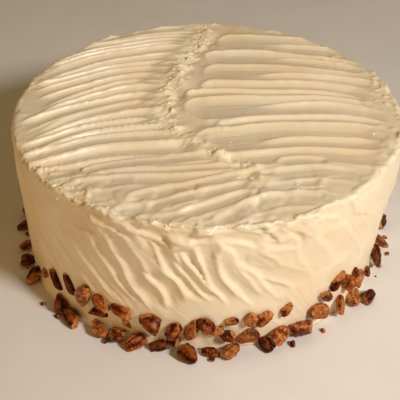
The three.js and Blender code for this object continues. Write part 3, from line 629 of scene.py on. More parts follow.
def rim_curls(angle, turn):
    """Thin lips of frosting bent round the ends of strokes, slanting over the edge."""
    level = 0
    for degrees, place, half_width, height in RIM_CURLS:
        down = TURN_LENGTH * (turn - place)
        across = turn_to(math.radians(degrees), angle) * RIM_RADIUS
        reach = np.hypot(across + CURL_SLANT * down, CURL_STRETCH * down) / half_width
        one_side = smoothstep(across - CURL_SLANT * down, -4, 4)
        level = level + height * bump(reach - 1, CURL_EDGE) * one_side
    return level


def rim_tears(angle, turn):
    """Small torn folds on the edge, most of them at the front left."""
    place = polar(RIM_RADIUS, angle, TURN_LENGTH * turn)
    creases = 1 - 2.6 * np.abs(layered_noise(place / 6, 41))
    bits = layered_noise(place / 2.6, 44)
    return rim_roughness(angle) * (0.7 * creases + 0.5 * bits) * np.sin(2 * turn)


# The side bulges a little on the right
BULGE_ANGLE = math.radians(-8)
BULGE_HEIGHT = 0.72 * HEIGHT
BULGE_REACH = 3
BULGE_SPREAD = (0.5, 0.22 * HEIGHT)


def plain_radius(angle, z):
    foot = FOOT_RADIUS - FOOT_SHIFT * np.cos(angle)
    skirt_waves = 1 + SKIRT_UNEVEN * np.sin(SKIRT_WAVES * angle + 0.4)
    skirt = SKIRT_REACH * np.exp(-z / SKIRT_HEIGHT) * skirt_waves
    sideways = bump(turn_to(BULGE_ANGLE, angle), BULGE_SPREAD[0])
    upright = bump(z - BULGE_HEIGHT, BULGE_SPREAD[1])
    return mix(foot, RIM_RADIUS, z / HEIGHT) + skirt + BULGE_REACH * sideways * upright


def edge_points(angle, turn):
    """Points on the rounded edge: turn goes from 0 at the top to a quarter at the side."""
    rim = rim_relief(angle) + rim_tears(angle, turn) + rim_curls(angle, turn)
    out = EDGE_ROUND + rim * np.sin(2 * turn)
    side = np.sin(turn) ** 2
    top_level = top_relief(INNER_RADIUS * np.cos(angle), INNER_RADIUS * np.sin(angle))
    z = HEIGHT - EDGE_ROUND + out * np.cos(turn) + top_level * (1 - side)
    edge_z = np.full_like(angle, HEIGHT - EDGE_ROUND)
    reach = plain_radius(angle, edge_z) + side_relief(angle, edge_z) - RIM_RADIUS
    return polar(INNER_RADIUS + out * np.sin(turn) + reach * side, angle, z)


# Making meshes

def add_object(name, data):
    thing = bpy.data.objects.new(name, data)
    bpy.context.scene.collection.objects.link(thing)
    return thing


def make_mesh(name, points, faces):
    """A smooth mesh object from points in millimetres and triangles."""
    mesh = bpy.data.meshes.new(name)
    mesh.from_pydata((points * MM).tolist(), [], faces.tolist())
    mesh.polygons.foreach_set("use_smooth", np.full(len(faces), True))
    return add_object(name, mesh)


def band_faces(upper_first, lower_first, count):
    """Triangles between two rings of the same count, the upper one given first."""
    step = np.arange(count)
    after = (step + 1) % count
    first = np.stack([upper_first + step, lower_first + step, lower_first + after], axis=-1)
    second = np.stack([upper_first + step, lower_first + after, upper_first + after], axis=-1)
    return np.concatenate([first, second])


def zip_faces(upper, upper_places, lower, lower_places):
    """Triangles between two chains of points, given a measure along each chain."""
    faces = []
    i = 0
    k = 0
    while i < len(upper) - 1 or k < len(lower) - 1:
        lower_done = k == len(lower) - 1
        upper_left = i < len(upper) - 1
        if upper_left and (lower_done or upper_places[i + 1] < lower_places[k + 1]):
            faces.append((upper[i], lower[k], upper[i + 1]))
            i += 1
        else:
            faces.append((upper[i], lower[k], lower[k + 1]))
            k += 1
    return faces


def top_rows():
    """The top's rows of places from back to front, each with its measure along the row."""
    for index in range(TOP_ROWS):
        level = INNER_RADIUS * (1 - 2 * (index + 0.5) / TOP_ROWS)
        half = math.sqrt(INNER_RADIUS ** 2 - level ** 2)
        steps = max(2, round(2 * half / TOP_STEP))
        measure = np.linspace(-half, half, steps + 1)
        bowed = level + (half ** 2 - measure ** 2) / (2 * ROW_BOW_RADIUS)
        x = measure * math.cos(ROW_TURN) - bowed * math.sin(ROW_TURN)
        y = measure * math.sin(ROW_TURN) + bowed * math.cos(ROW_TURN)
        yield (x, y, measure)


def top_mesh():
    """The top as rows along the strokes: points, triangles and the points round its edge."""
    points = []
    faces = []
    numbers = []
    first = 0
    for x, y, measure in top_rows():
        row = list(range(first, first + len(x)))
        points.append(np.stack([x, y, 0 * x], axis=-1))
        if numbers:
            faces += zip_faces(numbers[-1], back_measure, row, measure)
        numbers.append(row)
        back_measure = measure
        first += len(x)
    points = np.concatenate(points)
    points[:, 2] = HEIGHT + top_relief(points[:, 0], points[:, 1])
    left = [row[0] for row in numbers[1:-1]]
    right = [row[-1] for row in numbers[-2:0:-1]]
    outline = numbers[0][::-1] + left + numbers[-1] + right
    return points, faces, outline


def closed_places(angles):
    """Angles that grow all the way round from a loop's first point back to it."""
    return np.unwrap(np.append(angles, angles[0]))


def frosting_mesh():
    top, faces, outline = top_mesh()

    # The outline starts at the first point past the +X direction, as every ring does
    angles = np.mod(np.arctan2(top[outline, 1], top[outline, 0]), 2 * math.pi)
    start = int(np.argmin(angles))
    outline = outline[start:] + outline[:start]
    places = closed_places(np.roll(angles, -start))
    outline.append(outline[0])

    angle = 2 * math.pi * np.arange(COLUMNS) / COLUMNS
    rows = []
    for row in range(1, EDGE_ROWS):
        rows.append(edge_points(angle, np.full(COLUMNS, 0.5 * math.pi * row / EDGE_ROWS)))
    for row in range(SIDE_ROWS + 1):
        z = np.full(COLUMNS, (HEIGHT - EDGE_ROUND) * (1 - row / SIDE_ROWS))
        rows.append(polar(plain_radius(angle, z) + side_relief(angle, z), angle, z))
    first = len(top)
    ring = list(range(first, first + COLUMNS)) + [first]
    ring_places = 2 * math.pi * np.arange(COLUMNS + 1) / COLUMNS
    faces = np.array(faces + zip_faces(outline, places, ring, ring_places))
    bands = [band_faces(first + row * COLUMNS, first + (row + 1) * COLUMNS, COLUMNS)
             for row in range(len(rows) - 1)]

    # The flat underside, from the foot to its middle
    everything = np.concatenate([top, *rows, [[0.0, 0.0, 0.0]]])
    foot = first + (len(rows) - 1) * COLUMNS
    step = np.arange(COLUMNS)
    middle = np.full(COLUMNS, len(everything) - 1)
    base = np.stack([middle, foot + (step + 1) % COLUMNS, foot + step], axis=-1)
    return everything, np.concatenate([faces, *bands, base])


def ball_grid(around, along):
    """Rings of a ball of radius 1 from its tip at -X to the one at +X, without the tips."""
    theta = math.pi * np.arange(1, along) / along
    phi = 2 * math.pi * np.arange(around) / around
    theta, phi = np.meshgrid(theta, phi, indexing="ij")
    return -np.cos(theta), np.sin(theta) * np.cos(phi), np.sin(theta) * np.sin(phi)


def ball_faces(around, along):
    """Triangles of a ball whose points are its two tips and then its rings."""
    rows = along - 1
    step = np.arange(around)
    after = (step + 1) % around
    last = 2 + (rows - 1) * around
    faces = [
        np.stack([np.zeros_like(step), 2 + after, 2 + step], axis=-1),
        np.stack([np.ones_like(step), last + step, last + after], axis=-1),
    ]
    for row in range(rows - 1):
        faces.append(band_faces(2 + (row + 1) * around, 2 + row * around, around))
    return np.concatenate(faces)


def ball_points(around, along):
    x, y, z = ball_grid(around, along)
    tips = np.array([[-1.0, 0.0, 0.0], [1.0, 0.0, 0.0]])
    return np.concatenate([tips, np.stack([x, y, z], axis=-1).reshape(-1, 3)])


def turned(points, angle, axis):
    """Points turned about the Y or Z axis."""
    c, s = math.cos(angle), math.sin(angle)
    if axis == "Z":
        matrix = np.array([[c, -s, 0], [s, c, 0], [0, 0, 1]])
    else:
        matrix = np.array([[c, 0, s], [0, 1, 0], [-s, 0, c]])
    return points @ matrix.T


def add_values(piece, name, values):
    """Gives each point of a piece a value, which its material reads by name."""
    attribute = piece.data.attributes.new(name, "FLOAT", "POINT")
    attribute.data.foreach_set("value", np.asarray(values, np.float32))


def dress(piece, material, slot, *replaced):
    piece.data.materials.append(material)
    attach(piece, "root")
    if replaced:
        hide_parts(*replaced)


# Torn bits of frosting: fineness, how many, how flat, how far sunk in, and how pale (their own paler
# colour, with painted light)
BIT_AROUND = 14
BIT_ALONG = 10
SEAM_BITS = 90
RIM_BITS = 150
PATCH_BITS = 40
BIT_FLATNESS = 0.8
BIT_SINK = 0.4
PATCH_SIZE = 0.8
PATCH_FLATNESS = 0.7
PATCH_SINK = 0.25
RIM_SINK = 0.5
BIT_PALENESS_AND_LIGHT = 0.6
RIM_BIT_SEED = 400
PATCH_BIT_SEED = 600


def torn_bit(middle, size, flatness, seed):
    """A small torn lump of frosting round a place."""
    ball = ball_points(BIT_AROUND, BIT_ALONG)
    ball = ball * (1 + 0.55 * layered_noise(ball * 1.1 + 7.7 * seed, seed, 2))[:, None]
    sizes = size * np.array([spread(seed, 80, 1.0, 1.5), spread(seed, 81, 0.7, 1.0), flatness])
    return turned(ball * sizes, 2 * math.pi * draw(seed, 82), "Z") + middle


def top_place(x, y, sink):
    """A place on the top, sunk into it by a distance."""
    level = top_relief(np.array([x]), np.array([y]))[0]
    return np.array([x, y, HEIGHT + level - sink])


def bit_size(seed):
    return spread(seed, 83, 0.6, 1.1) ** 2


def seam_bits():
    for index in range(SEAM_BITS):
        y = mix(SEAM_BACK, SEAM_FRONT, (index + draw(index, 84)) / SEAM_BITS)
        x = seam_x(y) + 0.5 * (spread(index, 85, -0.1, 0.08) + spread(index, 86, -0.1, 0.08))
        size = bit_size(index)
        yield torn_bit(top_place(*on_top(x, y), BIT_SINK * size), size, BIT_FLATNESS, index)


def rim_bits():
    """Bits on the edge, more of them where it is rough."""
    for index in range(RIM_BITS):
        angle = 2 * math.pi * draw(index, 87)
        if rim_roughness(angle) < spread(index, 88, 0.1, 1.8):
            continue
        turn = spread(index, 89, 0.05, 0.75)
        seed = RIM_BIT_SEED + index
        size = bit_size(seed)
        place = edge_points(np.array([angle]), np.array([turn]))[0]
        place = place * (1 - RIM_SINK * size / RIM_RADIUS)
        yield torn_bit(place, size, BIT_FLATNESS, seed)


def patch_bits():
    for index in range(PATCH_BITS):
        patch_x, patch_y, reach, _ = ROUGH_PATCHES[index % len(ROUGH_PATCHES)]
        angle = 2 * math.pi * draw(index, 90)
        out = 0.9 * reach * draw(index, 91)
        x, y = on_top(patch_x + out * math.cos(angle), patch_y + out * math.sin(angle))
        seed = PATCH_BIT_SEED + index
        size = PATCH_SIZE * bit_size(seed)
        yield torn_bit(top_place(x, y, PATCH_SINK * size), size, PATCH_FLATNESS, seed)


def repeated_faces(faces, parts):
    """The triangles of one part, for each of several parts with the same count of points."""
    return np.concatenate([faces + index * len(parts[0]) for index in range(len(parts))])


def add_frosting_coat(material):
    points, faces = frosting_mesh()
    coat = make_mesh("frosting_coat", points, faces)
    # The torn share also paints light on the shaded slopes beside the seam
    add_values(coat, "torn", torn_and_lit_share(points))
    dress(coat, material, "frosting", "frosted_cake")


def add_frosting_bits(material):
    parts = [*seam_bits(), *rim_bits(), *patch_bits()]
    faces = repeated_faces(ball_faces(BIT_AROUND, BIT_ALONG), parts)
    bits = make_mesh("frosting_bits", np.concatenate(parts), faces)
    # Bits are paler: torn frosting's own colour, with painted light
    add_values(bits, "torn", np.full(len(bits.data.vertices), BIT_PALENESS_AND_LIGHT))
    dress(bits, material, "frosting")


# Materials

def set_inputs(node, **values):
    for name, value in values.items():
        node.inputs[name.replace("_", " ")].default_value = value


class Shader:
    """A short way to add and link shader nodes."""

    def __init__(self, name):
        self.material = bpy.data.materials.new(name)
        self.material.use_nodes = True
        self.tree = self.material.node_tree
        self.surface = self.tree.nodes["Principled BSDF"]
        self.place = self.add("ShaderNodeTexCoord").outputs["Object"]

    def add(self, kind, **settings):
        node = self.tree.nodes.new(kind)
        for name, value in settings.items():
            setattr(node, name, value)
        return node

    def link(self, output, target):
        self.tree.links.new(output, target)

    def drive(self, **outputs):
        """Links outputs to the surface's inputs of the same names."""
        for name, output in outputs.items():
            self.link(output, self.surface.inputs[name.replace("_", " ")])

    def noise(self, scale, detail=4.0, roughness=0.55):
        node = self.add("ShaderNodeTexNoise")
        set_inputs(node, Scale=scale, Detail=detail, Roughness=roughness)
        self.link(self.place, node.inputs["Vector"])
        return node.outputs["Fac"]

    def values(self, name):
        """The values that a piece's points were given under a name."""
        return self.add("ShaderNodeAttribute", attribute_name=name).outputs["Fac"]

    def ramp(self, value, *stops):
        node = self.add("ShaderNodeValToRGB")
        elements = node.color_ramp.elements
        while len(elements) < len(stops):
            elements.new(0.5)
        for element, (position, colour) in zip(elements, stops):
            element.position = position
            element.color = (*colour, 1.0)
        self.link(value, node.inputs["Fac"])
        return node.outputs["Color"]

    def number_ramp(self, value, low, high, from_low=0.0, from_high=1.0):
        node = self.add("ShaderNodeMapRange")
        set_inputs(node, From_Min=from_low, From_Max=from_high, To_Min=low, To_Max=high)
        self.link(value, node.inputs["Value"])
        return node.outputs["Result"]

    def blend(self, factor, first, second):
        """A mix of two colours, each an output or a plain colour."""
        node = self.add("ShaderNodeMix", data_type="RGBA")
        self.link(factor, node.inputs[0])
        for socket, value in ((6, first), (7, second)):
            if isinstance(value, tuple):
                node.inputs[socket].default_value = (*value, 1.0)
            else:
                self.link(value, node.inputs[socket])
        return node.outputs[2]

    def bump(self, height, strength, distance):
        node = self.add("ShaderNodeBump")
        set_inputs(node, Strength=strength, Distance=distance)
        self.link(height, node.inputs["Height"])
        self.drive(Normal=node.outputs["Normal"])


FROSTING_PALE = (0.885, 0.76, 0.545)
FROSTING_MAIN = (0.865, 0.72, 0.485)
FROSTING_DEEP = (0.835, 0.665, 0.415)
# The paler colour of torn frosting, also used as painted light on the seam's shaded slopes
FROSTING_TORN_AND_LIT = (0.98, 0.83, 0.55)

# The paler band lies a little left of the seam, as painted light on the slopes there that face away from
# the key light
LIT_BAND_SHIFT = 0.04
TORN_AND_LIT_BAND = 0.085


def torn_and_lit_share(points):
    """Where the frosting is torn, and painted light beside the seam: unevenly along the seam, as a share
    from 0 to 1.
    """
    x, y, z = points.T
    unit_x, unit_y = x / RIM_RADIUS, y / RIM_RADIUS
    along_seam = bump(unit_x - seam_x(unit_y) + LIT_BAND_SHIFT, TORN_AND_LIT_BAND)
    uneven = 0.7 + 0.9 * layered_noise(flat_points(x, y, 9.0), 19)
    torn = np.clip(along_seam * smoothstep(unit_y, *TEARS_END) * uneven, 0, 1)
    return torn * smoothstep(z, HEIGHT - 8, HEIGHT - 4)


def frosting_material():
    """Cream cheese frosting: warm ivory, paler where torn and with painted light beside the seam, satin,
    with light soaking in.
    """
    shader = Shader("frosting")
    clouds = shader.noise(28.0, 3.0)
    colour = shader.ramp(clouds, (0.3, FROSTING_DEEP), (0.5, FROSTING_MAIN), (0.72, FROSTING_PALE))
    specks = shader.noise(900.0, 2.0)
    colour = shader.blend(shader.number_ramp(specks, 0.0, 0.35, 0.62, 0.8), colour, FROSTING_DEEP)
    # Paler where torn: the frosting's own colour there, and painted light on the shaded band beside the
    # seam
    shader.drive(Base_Color=shader.blend(shader.values("torn"), colour, FROSTING_TORN_AND_LIT),
                 Roughness=shader.number_ramp(shader.noise(120.0), 0.3, 0.46))
    set_inputs(shader.surface, Subsurface_Weight=0.15, Subsurface_Scale=0.0015,
               Subsurface_Radius=(1.0, 0.7, 0.4), Specular_IOR_Level=0.75)
    shader.bump(shader.noise(520.0, 6.0, 0.62), 0.2, 0.0006)
    return shader.material


# Skin colours by tone: in the grooves (the skin's own darker colour, deepened as painted shade), on the
# ridges, and where the skin is worn
SKIN_TONES = {
    "dark": ((0.010, 0.001, 0.0005), (0.075, 0.010, 0.002), (0.22, 0.042, 0.009)),
    "red": ((0.014, 0.002, 0.0005), (0.14, 0.022, 0.004), (0.36, 0.080, 0.014)),
    "orange": ((0.024, 0.003, 0.001), (0.26, 0.050, 0.008), (0.54, 0.16, 0.030)),
    "brown": ((0.016, 0.002, 0.001), (0.17, 0.034, 0.006), (0.38, 0.105, 0.022)),
    "tan": ((0.026, 0.004, 0.001), (0.28, 0.072, 0.014), (0.54, 0.20, 0.050)),
}
FLESH_DARK = (0.20, 0.045, 0.008)
FLESH_LIGHT = (0.60, 0.25, 0.066)
SHINE_TINT = (1.0, 0.55, 0.3, 1.0)


def pecan_material(tone):
    """Glossy pecan skin, dark in its grooves and hollows with painted shade over its own darker colour
    there, and paler flesh where the nut is broken.
    """
    shader = Shader(f"pecan_{tone}")
    groove, ridge, worn = SKIN_TONES[tone]
    patches = shader.noise(300.0, 5.0, 0.65)
    lightness = shader.add("ShaderNodeMath", operation="SUBTRACT")
    shader.link(shader.number_ramp(patches, 0.35, 1.15, 0.35, 0.68), lightness.inputs[0])
    # Painted shade: the skin darkens towards the groove colour where a piece is grooved, hollow or dips
    shader.link(shader.values("dark_skin_and_shade"), lightness.inputs[1])
    skin = shader.ramp(lightness.outputs["Value"], (0.05, groove), (0.5, ridge), (0.95, worn))
    grain = shader.noise(700.0, 4.0, 0.6)
    flesh = shader.ramp(grain, (0.36, FLESH_DARK), (0.6, FLESH_LIGHT))
    shader.drive(Base_Color=shader.blend(shader.values("broken"), skin, flesh),
                 Roughness=shader.number_ramp(grain, 0.24, 0.5))
    set_inputs(shader.surface, Specular_IOR_Level=0.3, Specular_Tint=SHINE_TINT)
    shader.bump(shader.noise(1100.0, 4.0, 0.6), 0.3, 0.0004)
    return shader.material


# Chopped pecans: angle in degrees, height of the middle, how far out from the side a piece lies
# on the ground (0 where it is stuck in the frosting), length, width, lean of the length in
# degrees, colour, and the side that shows
PECANS = [
    (-178, 4.6, 5, 11, 6, 100, "dark", "skin"),
    (-168, 4.5, 4, 9, 6, 110, "tan", "broken"),
    (-160, 4.6, 4, 10, 7.5, 60, "dark", "skin"),
    (-152.5, 5.5, 4, 13, 8, -45, "dark", "skin"),
    (-139.5, 17, 0, 12, 6.6, -65, "dark", "skin"),
    (-136.5, 6.4, 3.6, 11, 8.4, -50, "red", "skin"),
    (-133, 22, 0, 13, 6.2, -65, "dark", "skin"),
    (-131, 4.4, 5.4, 14, 8, -12, "red", "skin"),
    (-126.5, 24.5, 0, 13, 8.6, 60, "tan", "broken"),
    (-122.5, 13, 0, 13.5, 6, 8, "red", "skin"),
    (-121, 5, 5, 12.5, 7, -10, "tan", "broken"),
    (-120.8, 22.8, 0, 12, 8, -30, "orange", "skin"),
    (-114.8, 21.5, 0, 12, 7, -12, "orange", "skin"),
    (-115.5, 6, 4.2, 9, 8.4, 0, "dark", "broken"),
    (-110, 5, 4.6, 12, 8.6, 50, "orange", "skin"),
    (-105.8, 19, 0, 12.5, 9.6, -35, "red", "skin"),
    (-103.5, 6.5, 3.2, 9, 5.6, 20, "dark", "skin"),
    (-98.8, 15, 0, 10.5, 7, 62, "orange", "skin"),
    (-94, 15.5, 0, 11, 7, 55, "tan", "broken"),
    (-94.2, 4.6, 7.6, 11.5, 9, -35, "red", "skin"),
    (-90, 20.5, 0, 10, 8.2, -55, "red", "skin"),
    (-88.6, 4.2, 4.2, 9.5, 5.6, -10, "red", "skin"),
    (-83.6, 11.5, 0, 9, 7, -20, "dark", "skin"),
    (-82.8, 4.4, 6.6, 10.5, 7, 40, "orange", "broken"),
    (-77.4, 9, 0, 12.5, 8, -5, "brown", "skin"),
    (-73.3, 20, 0, 11, 7, 55, "orange", "skin"),
    (-72.6, 4.8, 4.6, 9.5, 6, -75, "dark", "skin"),
    (-68, 7, 0, 12, 7.8, 30, "orange", "broken"),
    (-66, 22, 0, 9.5, 5.2, 70, "orange", "skin"),
    (-61, 7.5, 0, 15.5, 9, -10, "red", "broken"),
    (-54.6, 12.5, 0, 10.5, 9, 30, "tan", "broken"),
    (-51.5, 19.5, 0, 9.5, 6, -55, "red", "skin"),
    (-48, 26, 0, 11.5, 6.4, 60, "dark", "skin"),
    (-45.6, 6.8, 0, 12.5, 5.4, 42, "tan", "skin"),
    (-39.4, 4.8, 4.4, 9.5, 7, 50, "tan", "broken"),
    (-41, 17.5, 0, 9, 7, 60, "orange", "skin"),
    (-34.2, 12, 0, 11, 5.6, 60, "orange", "broken"),
    (-35, 4.4, 9.4, 11.5, 7, 0, "dark", "skin"),
    (-20.5, 9.5, 0, 15, 7.4, 80, "dark", "skin"),
    (-12, 7.5, 0, 13, 5.4, 75, "brown", "skin"),
]

# Pieces too small to be handled alone, stuck in the frosting: the same values
SMALL_PECANS = [
    (-147, 13, 0, 6.5, 5.4, 20, "tan", "broken"),
    (-113, 12.5, 0, 7, 4.6, -70, "tan", "broken"),
    (-99.5, 5.5, 0, 7, 5.6, 0, "dark", "skin"),
    (-86.5, 15.5, 0, 7, 5, 0, "tan", "broken"),
    (-82.4, 21.5, 0, 7.5, 4.8, -10, "red", "skin"),
    (-77.4, 21.5, 0, 7.5, 5.6, 50, "tan", "broken"),
    (-44.6, 24, 0, 7, 5.4, 70, "brown", "skin"),
    (-37.6, 21, 0, 7, 5, -60, "red", "skin"),
    (-27.5, 6, 0, 7, 5, 40, "brown", "skin"),
]

# The back carries on the ring by a rule: larger pieces low down, mostly smaller ones above
BACK_FROM = -3
BACK_TO = 178
BACK_PECANS = 19
BACK_SMALL_PECANS = 17
BACK_TILT = 70
SMALL_WIDTH_SHARE = 0.68
TONES = ["dark", "red", "orange", "tan", "brown", "dark", "red"]


def back_angle(index, offset, use, count):
    """Angle of a piece at the back, unevenly spaced by a draw."""
    return mix(BACK_FROM, BACK_TO, (index + offset + spread(index, use, -0.2, 0.2)) / count)


def back_pecans():
    for index in range(BACK_PECANS):
        upper = index % 4 == 1
        angle = back_angle(index, 0.5, 40, BACK_PECANS)
        height = spread(index, 41, 15, 20) if upper else spread(index, 41, 4.4, 8)
        reach = 0 if upper else spread(index, 43, 3.4, 6.5)
        length = spread(index, 42, 10.5, 14.5)
        width = length * spread(index, 44, 0.54, 0.74)
        lean = spread(index, 45, -BACK_TILT, BACK_TILT)
        shown = "broken" if index % 4 == 2 else "skin"
        yield (angle, height, reach, length, width, lean, TONES[index % len(TONES)], shown)


def back_small_pecans():
    for index in range(BACK_SMALL_PECANS):
        angle = back_angle(index, 0.3, 48, BACK_SMALL_PECANS)
        height = spread(index, 46, 12, 24)
        length = spread(index, 49, 7, 11.5)
        width = SMALL_WIDTH_SHARE * length
        lean = spread(index, 47, -BACK_TILT, BACK_TILT)
        shown = "broken" if index % 3 == 1 else "skin"
        yield (angle, height, 0, length, width, lean, TONES[(index + 3) % len(TONES)], shown)


# Half a pecan: its grooves, and how much of its thickness lies in its dome
GROOVE_DEPTH = 0.34
GROOVE_PLACE = 0.7
GROOVE_WIDTH = 0.2
DOME_SHARE = 0.72
BLUNTNESS = 0.35
HOLLOW_DEPTH = 0.3
HOLLOW_PLACE = 0.42
HOLLOW_WIDTH = 0.25
AROUND = 56
ALONG = 40
PECAN_FACES = ball_faces(AROUND, ALONG)


def pecan_half(half_length, half_width, thickness, seed):
    """Half a pecan as a fine grid: a long dome with a groove down each side of its back.

    Gives its points, and how deep in a groove and how far round to the inner face each one lies.
    """
    x, y, z = ball_grid(AROUND, ALONG)
    ring = np.sqrt(1 - x * x)
    waver = 0.07 * np.sin(5 * x + seed)
    side_groove = bump(np.abs(y) - (GROOVE_PLACE + waver) * ring, GROOVE_WIDTH)
    middle_groove = draw(seed, 59) * bump(y - waver, 0.6 * GROOVE_WIDTH)
    groove = np.maximum(side_groove, middle_groove) * smoothstep(z, 0, 0.2)
    hollow = HOLLOW_DEPTH * bump(np.abs(y) - HOLLOW_PLACE * ring, HOLLOW_WIDTH)
    blunt = ring ** -BLUNTNESS
    outer = z * (1 - GROOVE_DEPTH * groove) * DOME_SHARE
    inner = z * (1 - hollow) * (1 - DOME_SHARE)
    height = np.where(z > 0, outer, inner)
    grid = np.stack([x * half_length, y * blunt * half_width, height * blunt * thickness], axis=-1)
    tips = np.array([[-half_length, 0.0, 0.0], [half_length, 0.0, 0.0]])
    points = np.concatenate([tips, grid.reshape(-1, 3)])
    inside = smoothstep(-z, 0.1, 0.4)
    return points, np.append([0, 0], groove.ravel()), np.append([0, 0], inside.ravel())


# A half's width and thickness as shares of a piece's width, the share of pieces with a cut
# corner, how far out and at what turn it is cut, and how slanted the snapped ends are
HALF_WIDTH_SHARE = 0.57
THICKNESS_SHARE = 0.88
CORNER_SHARE = 0.65
CORNER_CUT = (0.55, 0.8)
CORNER_TURN = (0.6, 1.1)
SNAP_SLANT = 0.4


def cut_planes(length, width, seed):
    """The planes that a piece was chopped along: the normal and the distance of each."""
    end_normal = np.array([[1.0, 0.0, 0.0]])
    end_normal = turned(end_normal, spread(seed, 52, -SNAP_SLANT, SNAP_SLANT), "Z")
    end_normal = turned(end_normal, spread(seed, 53, -SNAP_SLANT, SNAP_SLANT), "Y")[0]
    planes = [(end_normal, 0.5 * length), (-end_normal, 0.5 * length)]
    if draw(seed, 55) < CORNER_SHARE:
        turn = spread(seed, 56, *CORNER_TURN)
        support = math.hypot(0.5 * length * math.cos(turn), HALF_WIDTH_SHARE * width * math.sin(turn))
        ahead = 1 if draw(seed, 57) < 0.5 else -1
        corner = np.array([ahead * math.cos(turn), math.sin(turn), 0.0])
        planes.append((corner, support * spread(seed, 58, *CORNER_CUT)))
    return planes


# Unevenness of the surface, for a piece 8 mm wide
PLAIN_WIDTH = 8
RIB_STEP = 1.7
RIB_HEIGHT = 0.1
WRINKLE = 0.14
CREASE = 0.7
CREASE_SIZE = 3.6
BREAK_ROUGHNESS = 0.32
CRUMBLE_SIZE = 1.7


def pecan_piece(length, width, seed):
    """One chopped piece, centred, its length along X and its skin facing +Z.

    Gives its points, how broken each one is, and how dark its skin, with painted shade in its grooves and
    hollows.
    """
    half_length = length * spread(seed, 50, 0.56, 0.8)
    points, groove, inner = pecan_half(half_length, HALF_WIDTH_SHARE * width,
                                       THICKNESS_SHARE * width, seed)
    side = 1 if draw(seed, 51) < 0.5 else -1
    points[:, 0] += side * (half_length - 0.5 * length)

    # What lies beyond a plane is drawn in towards the middle, onto the plane
    broken = np.zeros(len(points))
    for normal, distance in cut_planes(length, width, seed):
        beyond = points @ normal
        cut = beyond > distance
        points[cut] *= (distance / beyond[cut])[:, None]
        broken = np.maximum(broken, smoothstep(beyond - distance, -0.2, 0.1))
    patches = layered_noise(points / 2.6 + 3.1 * seed, seed + 20)
    broken = np.maximum(broken, inner * smoothstep(patches, -0.1, 0.2))

    # Ribs and wrinkles on the skin, crumbly breaks, and creases everywhere
    crumble = layered_noise(points / CRUMBLE_SIZE + 5.3 * seed, seed + 50)
    ribs = np.sin(2 * math.pi * points[:, 0] / RIB_STEP + 2.5 * noise(points / 3 + seed, seed + 30))
    wrinkles = layered_noise(points / np.array([2.4, 1.1, 1.1]) + 9.7 * seed, seed)
    creases = 0.4 - np.abs(noise(points / CREASE_SIZE + 4.1 * seed, seed + 70))
    skin = RIB_HEIGHT * spread(seed, 61, 0.3, 2) * ribs + WRINKLE * wrinkles
    uneven = (1 - broken) * skin + BREAK_ROUGHNESS * broken * crumble + CREASE * creases
    outward = points / np.linalg.norm(points, axis=1, keepdims=True)
    # Painted shade: darker in the grooves, on the hollow inner face and where ribs and wrinkles dip, over
    # the skin's own darker grooves
    dark_skin_and_shade = np.clip(0.6 * groove + 0.25 * inner - 0.1 * ribs - 0.25 * wrinkles, 0, 1)
    return points + outward * (uneven * width / PLAIN_WIDTH)[:, None], broken, dark_skin_and_shade


# Low pieces lie flat and high ones stand against the side, rolled to what they show
LYING_BELOW = 6
STANDING_ABOVE = 12
LYING_TILT = 0.25
SHOWN_ROLL = {"skin": 0.0, "broken": math.radians(150)}
ROLL_SPREAD = 0.5

# How far a piece reaches from its middle, as shares of its length and width
ALONG_REACH = 0.46
ACROSS_REACH = 0.54
INNER_REACH = 0.25
SKIN_REACH = 0.6
PRESSED_IN = 1.3


def unit(vector):
    return vector / np.linalg.norm(vector)


def turned_about(vector, axis, angle):
    """A vector turned about another one."""
    along = axis * np.dot(axis, vector) * (1 - math.cos(angle))
    return vector * math.cos(angle) + np.cross(axis, vector) * math.sin(angle) + along


def pecan_place(row, seed):
    """Where a piece sits and how it is turned: its three axes and its middle."""
    angle_degrees, height, reach, length, width, lean, _, shown = row
    angle = math.radians(angle_degrees)
    out = np.array([math.cos(angle), math.sin(angle), 0.0])
    round_foot = np.array([-math.sin(angle), math.cos(angle), 0.0])
    standing = mix(LYING_TILT, 1, float(smoothstep(height, LYING_BELOW, STANDING_ABOVE)))
    face = unit(mix(np.array([0.0, 0.0, 1.0]), out, standing))
    uphill = np.cross(face, round_foot)
    leaning = math.radians(lean)
    long = round_foot * math.cos(leaning) + uphill * math.sin(leaning)
    roll = SHOWN_ROLL[shown] + spread(seed, 54, -ROLL_SPREAD, ROLL_SPREAD)
    face = turned_about(face, long, roll)
    side = np.cross(face, long)
    thickness = (INNER_REACH if np.dot(face, out) > 0 else SKIN_REACH) * width
    inward = math.hypot(ALONG_REACH * length * np.dot(long, out),
                        ACROSS_REACH * width * np.dot(side, out),
                        thickness * np.dot(face, out))
    distance = float(plain_radius(angle, height)) + max(reach, inward - PRESSED_IN)
    return np.array([long, side, face]), out * distance + np.array([0.0, 0.0, height])


# No point of a nut lies lower than this
GROUND_GAP = 0.05


def placed_pecan(row, seed, lowest=None):
    """A piece in its place, resting at the lowest height where one is given."""
    points, broken, dark_skin_and_shade = pecan_piece(row[3], row[4], seed)
    axes, middle = pecan_place(row, seed)
    points = points @ axes + middle
    if lowest is not None:
        points[:, 2] += lowest - points[:, 2].min()
    points[:, 2] = np.maximum(points[:, 2], GROUND_GAP)
    return points, broken, dark_skin_and_shade


def add_nuts(name, parts, material, *replaced):
    """One object from one or more nuts, which all have the same faces."""
    faces = repeated_faces(PECAN_FACES, [part[0] for part in parts])
    points, broken, dark_skin_and_shade = (np.concatenate(values) for values in zip(*parts))
    piece = make_mesh(name, points, faces)
    add_values(piece, "broken", broken)
    add_values(piece, "dark_skin_and_shade", dark_skin_and_shade)
    dress(piece, material, "pecan", *replaced)


